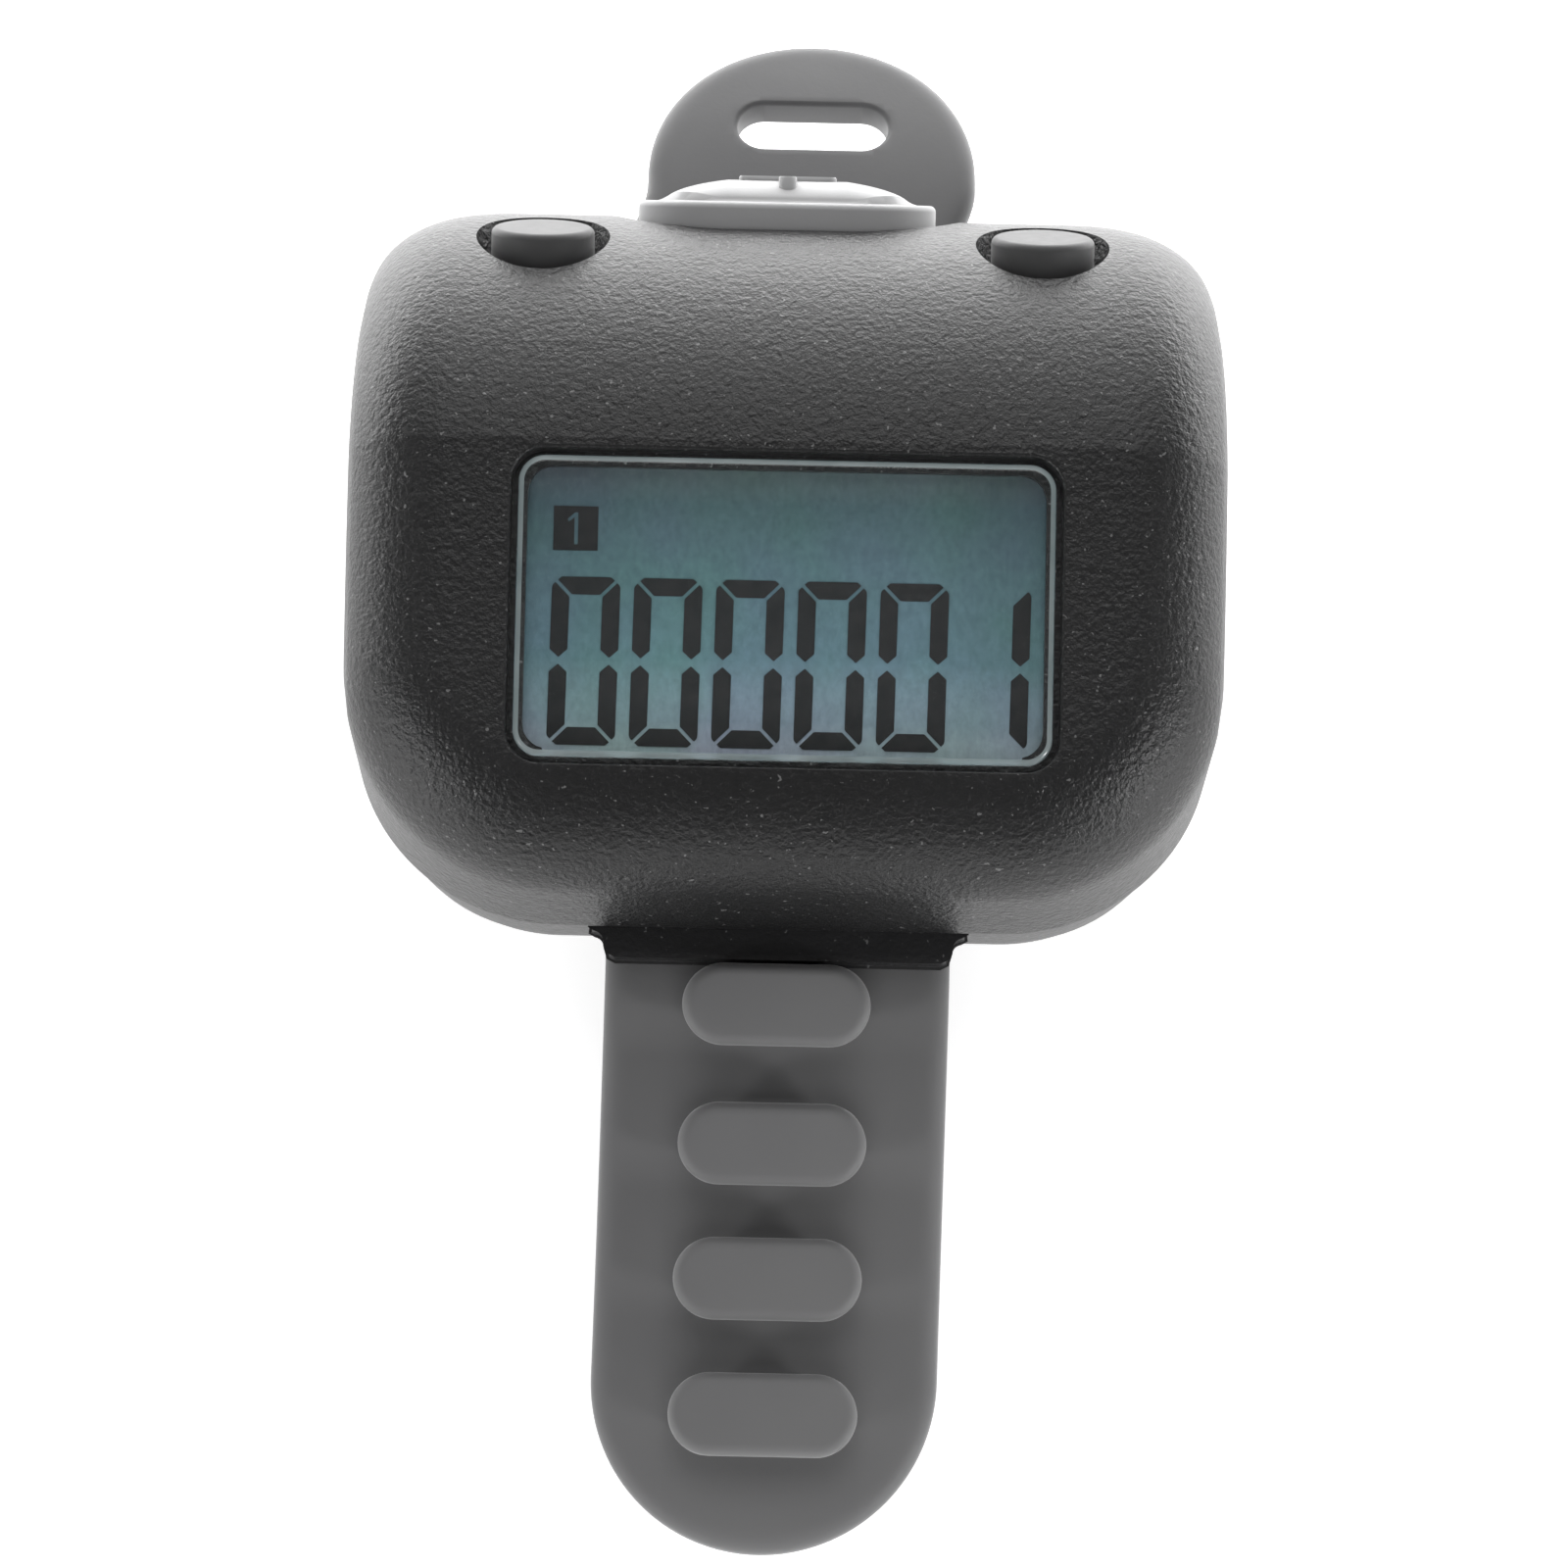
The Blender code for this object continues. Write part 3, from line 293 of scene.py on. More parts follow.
def box_mesh(low, high, matrix=None):
    shape = bmesh.new()
    bmesh.ops.create_cube(shape, size=1.0)
    bmesh.ops.scale(shape, vec=[b - a for a, b in zip(low, high)], verts=shape.verts)
    bmesh.ops.translate(shape, vec=[(a + b) / 2 for a, b in zip(low, high)], verts=shape.verts)
    return finished(shape, matrix)


# ---------------------------------------------------------------- frames of the face and the keys


def round_top_point(angle):
    """Where (y, z) the round top has this lean."""
    y = CREASE_Y + TOP_RADIUS * (math.sin(angle) - math.sin(TOP_START))
    z = CREASE_Z + TOP_RADIUS * (math.cos(angle) - math.cos(TOP_START))
    return y, z


def leaning_frame(x, point, angle):
    """X across, Y down the back and Z out, leaning back by the angle."""
    return Matrix.Translation((x, *point)) @ Matrix.Rotation(-angle, 4, "X")


FACE = Matrix.Translation((0, CREASE_Y, CREASE_Z)) @ Matrix.Rotation(FACE_SLOPE, 4, "X")
COUNT = leaning_frame(COUNT_X, round_top_point(COUNT_PLACE), COUNT_ANGLE)
KEYS = {
    "reset": leaning_frame(-KEY_SPACING, round_top_point(KEY_PLACE), KEY_ANGLE),
    "channel": leaning_frame(KEY_SPACING, round_top_point(KEY_PLACE), KEY_ANGLE),
}


# ---------------------------------------------------------------- housing surface


def roof_tangents():
    """The roof's outline as tangent lines: a point and an outward normal, each in (y, z)."""
    top_y, top_z = round_top_point(TOP_END)
    foot_y = top_y - BACK_RADIUS * math.sin(TOP_END)
    foot_z = top_z - BACK_RADIUS * math.cos(TOP_END)
    tangents = [(CREASE_Y, CREASE_Z, -math.sin(FACE_SLOPE), math.cos(FACE_SLOPE))]
    for angle in np.linspace(TOP_START, TOP_END, 140):
        tangents.append((*round_top_point(angle), math.sin(angle), math.cos(angle)))
    for angle in np.linspace(TOP_END, BACK_END, 40)[1:]:
        y = foot_y + BACK_RADIUS * math.sin(angle)
        z = foot_z + BACK_RADIUS * math.cos(angle)
        tangents.append((y, z, math.sin(angle), math.cos(angle)))
    return np.array(tangents)


ROOF = roof_tangents()


def roof_distance(y, z):
    """How far points lie outside the roof: the largest distance from any tangent."""
    y, z = y[..., None], z[..., None]
    return ((y - ROOF[:, 0]) * ROOF[:, 2] + (z - ROOF[:, 1]) * ROOF[:, 3]).max(axis=-1)


def plan_distance(x, y):
    """How far points lie outside the plan, whose corners and crowned sides differ front and rear."""
    middle = (FRONT_Y + REAR_Y) / 2
    radius = np.where(y < middle, FRONT_CORNER, REAR_CORNER)
    crown = SIDE_CROWN * ((y - middle) / (REAR_Y - middle)) ** 2
    dx = np.abs(x) + crown - (HALF_WIDTH - radius)
    dy = np.where(y < middle, FRONT_Y + radius - y, y - (REAR_Y - radius))
    outside = np.hypot(np.maximum(dx, 0), np.maximum(dy, 0))
    return outside + np.minimum(np.maximum(dx, dy), 0) - radius


def round_meet(a, b, radius):
    """The distance from the overlap of two forms, with a fillet where they meet."""
    a, b = a + radius, b + radius
    return np.minimum(np.maximum(a, b), 0) + np.hypot(np.maximum(a, 0), np.maximum(b, 0)) - radius


def top_form(p):
    """Signed distance from the front shell's outside, closed below the seam."""
    shell = round_meet(plan_distance(p[:, 0], p[:, 1]), roof_distance(p[:, 1], p[:, 2]), TOP_FILLET)
    return np.maximum(shell, -3 * MM - p[:, 2])


def bottom_form(p):
    """Signed distance from the bottom shell's outside, stepped in and drafted from the seam down."""
    draft = BOTTOM_STEP + (SEAM_FRONT_Z - p[:, 2]) * BOTTOM_DRAFT
    side = round_meet(plan_distance(p[:, 0], p[:, 1]), roof_distance(p[:, 1], p[:, 2]), TOP_FILLET)
    return round_meet(side + draft, -p[:, 2], BOTTOM_EDGE)


def solve(form, level, start, direction):
    """Where the form reaches this level from start along direction, by halving."""
    low = np.zeros(len(start))
    high = np.full(len(start), 0.05)
    for _ in range(34):
        middle = (low + high) / 2
        inside = form(start + direction * middle[:, None]) < level
        low = np.where(inside, middle, low)
        high = np.where(inside, high, middle)
    return start + direction * low[:, None]


# The crease lies in a plane through this axis, so one row of points follows it.
CREASE_LEAN = (TOP_START - FACE_SLOPE) / 2
AXIS_Z = 7.0 * MM
AXIS_Y = CREASE_Y - math.tan(CREASE_LEAN) * (CREASE_Z - AXIS_Z)


def ring_angles(rows):
    """Angles of a ring's points, with three close together at the crease."""
    crease = math.pi / 2 - CREASE_LEAN
    angles = list(np.linspace(0, 2 * math.pi, rows, endpoint=False) + crease)
    return np.array(sorted(angles + [crease - 0.006, crease + 0.006]))


def housing_skin(form, inset, rows, stations, side_rows):
    """A closed skin of the form: rings round the X axis and a crowned side at each end."""
    angles = ring_angles(rows)
    outward = np.stack([np.zeros_like(angles), np.cos(angles), np.sin(angles)], axis=1)
    reach = HALF_WIDTH - inset
    bunch = 0.93
    last_ring = 0.985
    share = np.sin(np.linspace(0, math.pi / 2, stations) * bunch) / math.sin(math.pi / 2 * bunch) * last_ring
    rings = []
    for fraction in np.concatenate([-share[:0:-1], share]):
        start = np.tile([fraction * reach, AXIS_Y, AXIS_Z], (len(angles), 1))
        rings.append(solve(form, -inset, start, outward))
    for sign, edge in ((-1, rings[0]), (1, rings[-1])):
        sideways = np.tile([float(sign), 0.0, 0.0], (len(angles), 1))
        caps = []
        for ring in np.linspace(1.0, 0.05, side_rows)[1:]:
            inner = np.stack([np.zeros(len(angles)), AXIS_Y + (edge[:, 1] - AXIS_Y) * ring,
                              AXIS_Z + (edge[:, 2] - AXIS_Z) * ring], axis=1)
            caps.append(solve(form, -inset, inner, sideways))
        rings = caps[::-1] + rings if sign < 0 else rings + caps
    return loft(rings)


def cut_at_seam(mesh, form, keep_above):
    """One side of the seam of a closed skin, with a rounded lip and a flat closing face."""
    side = 1 if keep_above else -1
    normal = Vector((0, -SEAM_SLOPE, 1)).normalized() * side
    shape = bmesh.new()
    shape.from_mesh(mesh)
    lip = SEAM_ROUND + GAP / 2
    plane = Vector((0, FRONT_Y, SEAM_FRONT_Z)) + normal * lip
    bmesh.ops.bisect_plane(shape, geom=shape.verts[:] + shape.edges[:] + shape.faces[:], dist=1e-7,
                           plane_co=plane, plane_no=normal, clear_inner=True)
    loop = [edge for edge in shape.edges if edge.is_boundary]
    step = 0.02 * MM
    for turn in np.radians((22.5, 45.0, 67.5, 90.0)):
        made = bmesh.ops.extrude_edge_only(shape, edges=loop)["geom"]
        verts = [v for v in made if isinstance(v, bmesh.types.BMVert)]
        loop = [e for e in made if isinstance(e, bmesh.types.BMEdge) and e.is_boundary]
        at = np.array([v.co for v in verts])
        slope = np.stack([form(at + [step, 0, 0]) - form(at - [step, 0, 0]),
                          form(at + [0, step, 0]) - form(at - [0, step, 0])], axis=1)
        slope /= np.linalg.norm(slope, axis=1)[:, None]
        last = turn - math.radians(22.5)
        inward = SEAM_ROUND * (math.cos(last) - math.cos(turn))
        down = SEAM_ROUND * (math.sin(turn) - math.sin(last))
        for vert, (gx, gy) in zip(verts, slope):
            vert.co += -normal * down - Vector((gx, gy, 0)) * inward
    bmesh.ops.contextual_create(shape, geom=loop)
    bmesh.ops.triangulate(shape, faces=[f for f in shape.faces if len(f.verts) > 4])
    return finished(shape)


# ---------------------------------------------------------------- materials


class Nodes:
    """A small helper for a material's node tree."""

    def __init__(self, name):
        self.made = bpy.data.materials.new(name)
        self.made.use_nodes = True
        self.tree = self.made.node_tree
        self.shader = self.tree.nodes["Principled BSDF"]

    def new(self, kind, **values):
        node = self.tree.nodes.new("ShaderNode" + kind)
        for key, value in values.items():
            if hasattr(node, key):
                setattr(node, key, value)
            else:
                node.inputs[key.replace("_", " ")].default_value = value
        return node

    def link(self, source, target):
        self.tree.links.new(source, target)

    def coordinates(self, scale=(1, 1, 1)):
        where = self.new("TexCoord")
        mapping = self.new("Mapping")
        mapping.inputs["Scale"].default_value = scale
        self.link(where.outputs["Object"], mapping.inputs["Vector"])
        return mapping.outputs["Vector"]

    def noise(self, scale, detail=3.0, roughness=0.5, stretch=(1, 1, 1)):
        node = self.new("TexNoise", Scale=scale, Detail=detail, Roughness=roughness)
        self.link(self.coordinates(stretch), node.inputs["Vector"])
        return node.outputs["Fac"]

    def ramp(self, source, stops):
        node = self.new("ValToRGB")
        while len(node.color_ramp.elements) < len(stops):
            node.color_ramp.elements.new(0.5)
        for element, (place, colour) in zip(node.color_ramp.elements, stops):
            element.position = place
            element.color = (*colour, 1.0)
        self.link(source, node.inputs["Fac"])
        return node.outputs["Color"]

    def spread(self, source, low, high):
        node = self.new("MapRange")
        node.inputs["To Min"].default_value = low
        node.inputs["To Max"].default_value = high
        self.link(source, node.inputs["Value"])
        return node.outputs["Result"]

    def product(self, first, second):
        node = self.new("Mix", data_type="RGBA", blend_type="MULTIPLY")
        node.inputs["Factor"].default_value = 1.0
        self.link(first, node.inputs["A"])
        self.link(second, node.inputs["B"])
        return node.outputs["Result"]

    def bump(self, heights):
        """Bump from (height, strength, distance) triples, coarse first."""
        last = None
        for source, strength, distance in heights:
            node = self.new("Bump", Strength=strength, Distance=distance)
            self.link(source, node.inputs["Height"])
            if last:
                self.link(last, node.inputs["Normal"])
            last = node.outputs["Normal"]
        self.link(last, self.shader.inputs["Normal"])

    def set(self, **values):
        for key, value in values.items():
            self.shader.inputs[key.replace("_", " ")].default_value = value


def grey(value, blue=1.0):
    return (value, value, value * blue)


def black_plastic(name, tone, rough, grain, coat):
    """Moulded plastic with a spark-eroded grain and a little dust caught in it."""
    m = Nodes(name)
    body = m.ramp(m.noise(60, 3.0), [(0.3, grey(tone * 0.88, 1.03)), (0.7, grey(tone * 1.14, 1.04))])
    dust = m.new("Mix", data_type="RGBA")
    specks = m.ramp(m.noise(4200, 1.5, 0.4), [(0.715, grey(0.0)), (0.74, grey(0.6))])
    m.link(specks, dust.inputs["Factor"])
    m.link(body, dust.inputs["A"])
    dust.inputs["B"].default_value = (*grey(0.2), 1.0)
    m.link(dust.outputs["Result"], m.shader.inputs["Base Color"])
    m.link(m.spread(m.noise(2600, 3.0), rough * 0.8, rough * 1.2), m.shader.inputs["Roughness"])
    m.bump([(m.noise(1300, 2.0, 0.6), grain * 0.4, 0.1 * MM), (m.noise(3600, 3.0, 0.6), grain, 0.1 * MM)])
    m.set(Specular_IOR_Level=0.5, Coat_Weight=coat, Coat_Roughness=0.12)
    return m.made


def silicone(name, base, sheen):
    """Matt moulded rubber of one tone, slightly patchy."""
    m = Nodes(name)
    patches = m.noise(90, 3.0)
    low, high = grey(base * 0.93, 1.02), grey(base * 1.07, 1.01)
    m.link(m.ramp(patches, [(0.3, low), (0.7, high)]), m.shader.inputs["Base Color"])
    m.link(m.spread(m.noise(1800, 3.0), 0.5, 0.66), m.shader.inputs["Roughness"])
    m.bump([(m.noise(5200, 3.0, 0.6), 0.25, 0.02 * MM)])
    m.set(Sheen_Weight=sheen, Sheen_Roughness=0.4, Specular_IOR_Level=0.45)
    return m.made


def display_liquid():
    """The unlit liquid crystal: grey green, lighter towards its lower edge, over a fibrous reflector."""
    m = Nodes("display_liquid")
    rise = m.new("SeparateXYZ")
    m.link(m.coordinates(), rise.inputs["Vector"])
    height = m.new("MapRange")
    height.inputs["From Min"].default_value = LENS_MIDDLE - LENS[1] / 2
    height.inputs["From Max"].default_value = LENS_MIDDLE + LENS[1] / 2
    m.link(rise.outputs["Y"], height.inputs["Value"])
    down_to_up = [
        (0.0, (0.42, 0.5, 0.54)),
        (0.14, (0.21, 0.29, 0.325)),
        (0.34, (0.11, 0.2, 0.22)),
        (0.62, (0.09, 0.165, 0.178)),
        (0.86, (0.066, 0.112, 0.125)),
        (1.0, (0.11, 0.135, 0.143)),
    ]
    tone = m.ramp(height.outputs["Result"], down_to_up)
    fibres = m.ramp(m.noise(3800, 3.0, 0.6, stretch=(1.0, 0.6, 1.0)), [(0.3, grey(0.86)), (0.7, grey(1.1))])
    clouds = m.ramp(m.noise(160, 2.0), [(0.35, (1.04, 0.96, 1.06)), (0.65, (0.95, 1.05, 0.97))])
    m.link(m.product(m.product(tone, fibres), clouds), m.shader.inputs["Base Color"])
    m.link(m.spread(m.noise(900, 2.0), 0.38, 0.5), m.shader.inputs["Roughness"])
    m.set(Specular_IOR_Level=0.2)
    return m.made


def display_ink():
    m = Nodes("display_ink")
    m.link(m.ramp(m.noise(1200, 2.0), [(0.3, (0.016, 0.017, 0.018)), (0.7, (0.024, 0.024, 0.025))]),
           m.shader.inputs["Base Color"])
    m.link(m.spread(m.noise(2000, 2.0), 0.4, 0.55), m.shader.inputs["Roughness"])
    m.set(Specular_IOR_Level=0.2)
    return m.made


def clear_lens():
    m = Nodes("clear_lens")
    m.link(m.ramp(m.noise(120, 2.0), [(0.3, (0.93, 0.96, 0.96)), (0.7, (0.97, 0.98, 0.98))]),
           m.shader.inputs["Base Color"])
    m.link(m.spread(m.noise(700, 4.0, 0.7), 0.01, 0.05), m.shader.inputs["Roughness"])
    m.set(Transmission_Weight=1.0, IOR=1.46)
    return m.made


def lens_edge_painted_glow():
    """The lens's moulded rim, partly clear and rougher than the plate; its light grey tone is a painted glow
    for the light that the plate gathers at its edge.
    """
    m = Nodes("lens_edge_painted_glow")
    m.link(m.ramp(m.noise(500, 3.0), [(0.3, (0.32, 0.4, 0.41)), (0.7, (0.46, 0.54, 0.55))]),
           m.shader.inputs["Base Color"])
    m.link(m.spread(m.noise(1500, 3.0), 0.12, 0.3), m.shader.inputs["Roughness"])
    m.set(Transmission_Weight=0.55, IOR=1.46)
    return m.made


def metal(name, tone, rough):
    m = Nodes(name)
    m.link(m.ramp(m.noise(300, 3.0), [(0.3, grey(tone * 0.85)), (0.7, grey(tone))]),
           m.shader.inputs["Base Color"])
    m.link(m.spread(m.noise(3000, 3.0, 0.6, stretch=(1, 0.1, 1)), rough * 0.8, rough * 1.3),
           m.shader.inputs["Roughness"])
    m.bump([(m.noise(6000, 2.0), 0.1, 0.01 * MM)])
    m.set(Metallic=1.0)
    return m.made


def plain(name, low, high, rough):
    """A material between two colours, for what lies inside the housing."""
    m = Nodes(name)
    m.link(m.ramp(m.noise(400, 3.0), [(0.3, low), (0.7, high)]), m.shader.inputs["Base Color"])
    m.link(m.spread(m.noise(1200, 3.0), rough * 0.85, rough * 1.15), m.shader.inputs["Roughness"])
    m.bump([(m.noise(2500, 3.0), 0.12, 0.02 * MM)])
    return m.made


BLACK = black_plastic("black_plastic", 0.012, 0.36, 1.0, 0.0)
# The bottom shell's black at twice the tone of the front shell's: painted light that makes up for the shade
# the bottom shell and its shelf sit in.
BASE_BLACK_PAINTED_LIGHTER = black_plastic("base_plastic_painted_lighter", 0.024, 0.34, 0.4, 0.0)
STRAP_RUBBER = silicone("strap_silicone", 0.15, 0.5)
KEY_RUBBER = silicone("key_silicone", 0.045, 0.3)
# The count button's silicone, much lighter than the strap's: the raised tone is a painted reflection of the
# bright backdrop that the button faces at a grazing angle.
COUNT_RUBBER_PAINTED_BRIGHT = silicone("count_silicone", 0.36, 0.6)
LIQUID = display_liquid()
INK = display_ink()
CLEAR = clear_lens()
LENS_EDGE_PAINTED_GLOW = lens_edge_painted_glow()
STEEL = metal("steel", 0.62, 0.28)
CAD_LOOKS = {
    "black_plastic": BLACK,
    "strap_silicone": STRAP_RUBBER,
    "key_silicone": KEY_RUBBER,
    "count_silicone": COUNT_RUBBER_PAINTED_BRIGHT,
    "clear_plastic": CLEAR,
    "display_glass": LIQUID,
    "white_film": plain("white_film", grey(0.72), grey(0.8), 0.5),
    "green_board": plain("green_board", (0.012, 0.1, 0.035), (0.02, 0.15, 0.05), 0.35),
    "epoxy": plain("epoxy", grey(0.008), grey(0.014), 0.3),
    "steel": STEEL,
    "pink_rubber": plain("pink_rubber", (0.5, 0.24, 0.22), (0.6, 0.3, 0.28), 0.7),
    "ribbon": plain("ribbon", grey(0.3), grey(0.38), 0.45),
}
for part in frame["record"]["subparts"]:
    node = frame["nodes"][part["node"]]
    node.data.materials.clear()
    node.data.materials.append(CAD_LOOKS[part["material_slot"]])


# ---------------------------------------------------------------- pieces


def piece(name, mesh, look, stands_for=(), body="housing", sharp=38.0, weighted=True, local=False):
    """A finished piece of the counter from a mesh in the housing's frame."""
    mesh.name = name
    if not local:
        mesh.transform(Matrix.Translation(ORIGIN))
    mesh.materials.clear()
    mesh.materials.append(look)
    mesh.shade_smooth()
    mesh.set_sharp_from_angle(angle=math.radians(sharp))
    made = bpy.data.objects.new(name, mesh)
    bpy.context.scene.collection.objects.link(made)
    if local:
        made.matrix_world = Matrix.Translation(ORIGIN) @ local
    if weighted:
        even = made.modifiers.new("even", "WEIGHTED_NORMAL")
        even.keep_sharp = True
    if body:
        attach(made, body)
    if stands_for:
        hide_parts(*stands_for)
    return made


def pocket_cutter(outline_size, middle, corner, low, edge, matrix):
    """A hole with a rounded rim that opens above a flat face."""
    width, height = outline_size
    profile = [(0.0, low), (0.0, -edge)]
    turns = np.radians((22.5, 45, 67.5, 90))
    profile += [(edge - edge * math.cos(a), -edge + edge * math.sin(a)) for a in turns]
    profile += [(edge + 0.2 * MM, 0.02 * MM), (edge + 0.2 * MM, 3 * MM)]

    def outline(grow):
        return rounded_rectangle(width + 2 * grow, height + 2 * grow, corner + grow, middle)

    return stacked(outline, profile, matrix)


def key_well():
    """The (radius, height) profile that a small key's well and shaft cut from the roof."""
    rim = 0.15 * MM
    lip, foot = WELL_RADII
    slope = (lip - foot) / (2 * WELL_DEPTH)
    hole = KEY_RADIUS + GAP
    return [(hole, -7 * MM), (hole, -WELL_DEPTH - 0.2 * MM), (hole + 0.1 * MM, -WELL_DEPTH - 0.1 * MM),
            (foot - 0.1 * MM, -WELL_DEPTH - 0.06 * MM), (foot, -WELL_DEPTH + 0.06 * MM),
            (foot + slope * WELL_DEPTH, 0.0), (lip, WELL_DEPTH), (lip + rim, WELL_DEPTH + rim),
            (lip + rim, 3 * MM)]


def build_front_shell():
    skin = housing_skin(top_form, 0.0, rows=250, stations=62, side_rows=10)
    shell = cut_at_seam(skin, top_form, keep_above=True)
    shell = boolean(shell, housing_skin(top_form, WALL, rows=60, stations=14, side_rows=4))
    middle = (0, LENS_MIDDLE)
    lens_hole = (LENS[0] + 2 * GAP, LENS[1] + 2 * GAP)
    pocket = pocket_cutter(lens_hole, middle, LENS_CORNER + GAP, -POCKET_DEPTH, 0.16 * MM, FACE)
    shell = boolean(shell, pocket)
    window = rounded_rectangle(*WINDOW, LENS_CORNER, middle)
    shell = boolean(shell, prism(window, -4 * MM, 1 * MM, FACE))
    for place in KEYS.values():
        shell = boolean(shell, lathe(key_well(), matrix=place))
    dish = [(-1.3 * MM, -0.62 * MM), (-0.6 * MM, -0.45 * MM), (-0.1 * MM, -0.2 * MM), (0.25 * MM, 0.1 * MM),
            (0.5 * MM, 0.45 * MM), (0.8 * MM, 2.5 * MM)]
    shell = boolean(shell, stacked(lambda grow: stadium(COUNT_DISH, grow), dish, COUNT))
    shell = boolean(shell, prism(stadium(COUNT_COLLAR, GAP), -6 * MM, 4 * MM, COUNT))
    piece("front_shell_skin", shell, BLACK, ["front_shell"], sharp=32)


def shelf_mesh():
    """The ledge over the strap where it leaves the housing, with hollow flares at its ends."""
    flare = 0.7 * MM
    wall = -17.35 * MM
    side = []
    for angle in np.radians(np.linspace(0, 90, 8)):
        side.append((SHELF_HALF + flare * (1 - math.sin(angle)), wall - flare * (1 - math.cos(angle)) * 0.85))
    side.append((SHELF_HALF - 0.15 * MM, SHELF_Y + 0.12 * MM))
    side.append((SHELF_HALF - 0.4 * MM, SHELF_Y))
    right = [(SHELF_HALF + flare, -15.9 * MM)] + side
    outline = right + [(-x, y) for x, y in reversed(right)]
    count = len(outline)

    def at(inset, z):
        """The outline moved along its normals, at one height."""
        points = []
        for i, (x, y) in enumerate(outline):
            px, py = outline[i - 1]
            nx, ny = outline[(i + 1) % count]
            dx, dy = nx - px, ny - py
            length = math.hypot(dx, dy)
            points.append((x + dy / length * inset, y - dx / length * inset, z))
        return points

    low, high, edge = SHELF_Z[0], SHELF_Z[1], 0.18 * MM
    return loft([at(-edge, low), at(-edge * 0.3, low + edge * 0.3), at(0, low + edge), at(0, high - edge),
                 at(-edge * 0.3, high - edge * 0.3), at(-edge, high)])


def build_bottom_shell():
    skin = housing_skin(bottom_form, 0.0, rows=200, stations=44, side_rows=10)
    shell = cut_at_seam(skin, bottom_form, keep_above=False)
    shell = boolean(shell, shelf_mesh(), "UNION")
    reach = 30 * MM
    edge = 0.25 * MM
    channel = loft([[(-CHANNEL_HALF - edge, y, -reach), (CHANNEL_HALF + edge, y, -reach),
                     (CHANNEL_HALF + edge, y, 0), (CHANNEL_HALF, y, edge), (CHANNEL_HALF, y, CHANNEL_TOP),
                     (-CHANNEL_HALF, y, CHANNEL_TOP), (-CHANNEL_HALF, y, edge), (-CHANNEL_HALF - edge, y, 0)]
                    for y in (-reach, reach)])
    for y in BAR_YS:
        profile = [(edge, 0), (BAR_DEPTH - edge, 0), (BAR_DEPTH, edge), (BAR_DEPTH, BAR_THICK),
                   (0, BAR_THICK), (0, edge)]
        bar = loft([[(x, y - BAR_DEPTH / 2 + grow, z) for grow, z in profile] for x in (-reach, reach)])
        channel = boolean(channel, bar)
    shell = boolean(shell, channel)
    for x_sign in (-1, 1):
        for x, y in SCREW_PLACES:
            place = Matrix.Translation((x_sign * x, y, 0))
            profile = [(2.15 * MM, -1 * MM), (2.1 * MM, 0.0), (1.88 * MM, 0.22 * MM), (1.85 * MM, 1.6 * MM),
                       (1.1 * MM, 1.6 * MM), (1.1 * MM, 8 * MM)]
            shell = boolean(shell, lathe(profile, 40, place))
    piece("bottom_shell_skin", shell, BASE_BLACK_PAINTED_LIGHTER, ["bottom_shell"], sharp=32)


# ---------------------------------------------------------------- display


def build_lens():
    edge = 0.36 * MM
    profile = [(-0.1 * MM, LENS_BOTTOM), (0.0, LENS_BOTTOM + 0.1 * MM), (0.0, LENS_TOP - edge)]
    profile += [(-edge + edge * math.cos(a), LENS_TOP - edge * 0.7 + edge * 0.7 * math.sin(a))
                for a in np.radians((15, 35, 55, 75, 90))]
    profile += [(-1.2 * MM, LENS_TOP)]

    def outline(grow):
        return rounded_rectangle(LENS[0] + 2 * grow, LENS[1] + 2 * grow, max(LENS_CORNER + grow, 0.2 * MM),
                                 (0, LENS_MIDDLE), 12)

    mesh = stacked(outline, profile, FACE)
    lens = piece("display_window", mesh, CLEAR, ["display_lens"], sharp=50)
    lens.visible_shadow = False
    # The rim faces get the lens edge material, whose light grey tone is a painted glow of the edge.
    lens.data.materials.append(LENS_EDGE_PAINTED_GLOW)
    flat = 0.985
    for face in lens.data.polygons:
        upward = abs((FACE.inverted().to_3x3() @ face.normal).z)
        face.material_index = 0 if upward > flat else 1


def digit_segments():
    """Outlines of the seven bars of a digit, from its lower left corner, named a to g."""
    w, h = DIGIT
    t, g, c = BAR, BAR_GAP, CHAMFER
    middle = h / 2
    point = 0.36 * MM
    tip = middle + 0.15 * MM
    root = math.sqrt(2) * g
    side = [(0, tip + point), (t / 2, tip), (t, tip + point), (t, h - t - root),
            (c * 0.5, h - c * 0.5 - root), (c * 0.12, h - c * 0.9 - root), (0, h - c * 1.3 - root)]
    top = [(c * 0.5 + root, h - c * 0.5), (t + root, h - t), (w - t - root, h - t),
           (w - c * 0.5 - root, h - c * 0.5), (w - c * 1.1 - root, h), (c * 1.1 + root, h)]
    half = t * 0.48
    cross = [(0.35 * MM, middle), (0.75 * MM, middle + half), (w - 0.75 * MM, middle + half),
             (w - 0.35 * MM, middle), (w - 0.75 * MM, middle - half), (0.75 * MM, middle - half)]

    def right(points):
        return [(w - x, y) for x, y in points]

    def low(points):
        return [(x, h - y) for x, y in points]

    return {"a": top, "b": right(side), "c": low(right(side)), "d": low(top), "e": low(side), "f": side,
            "g": cross}


def joined(meshes):
    """Several meshes as one."""
    shape = bmesh.new()
    for mesh in meshes:
        shape.from_mesh(mesh)
    made = bpy.data.meshes.new("joined")
    shape.to_mesh(made)
    shape.free()
    return made


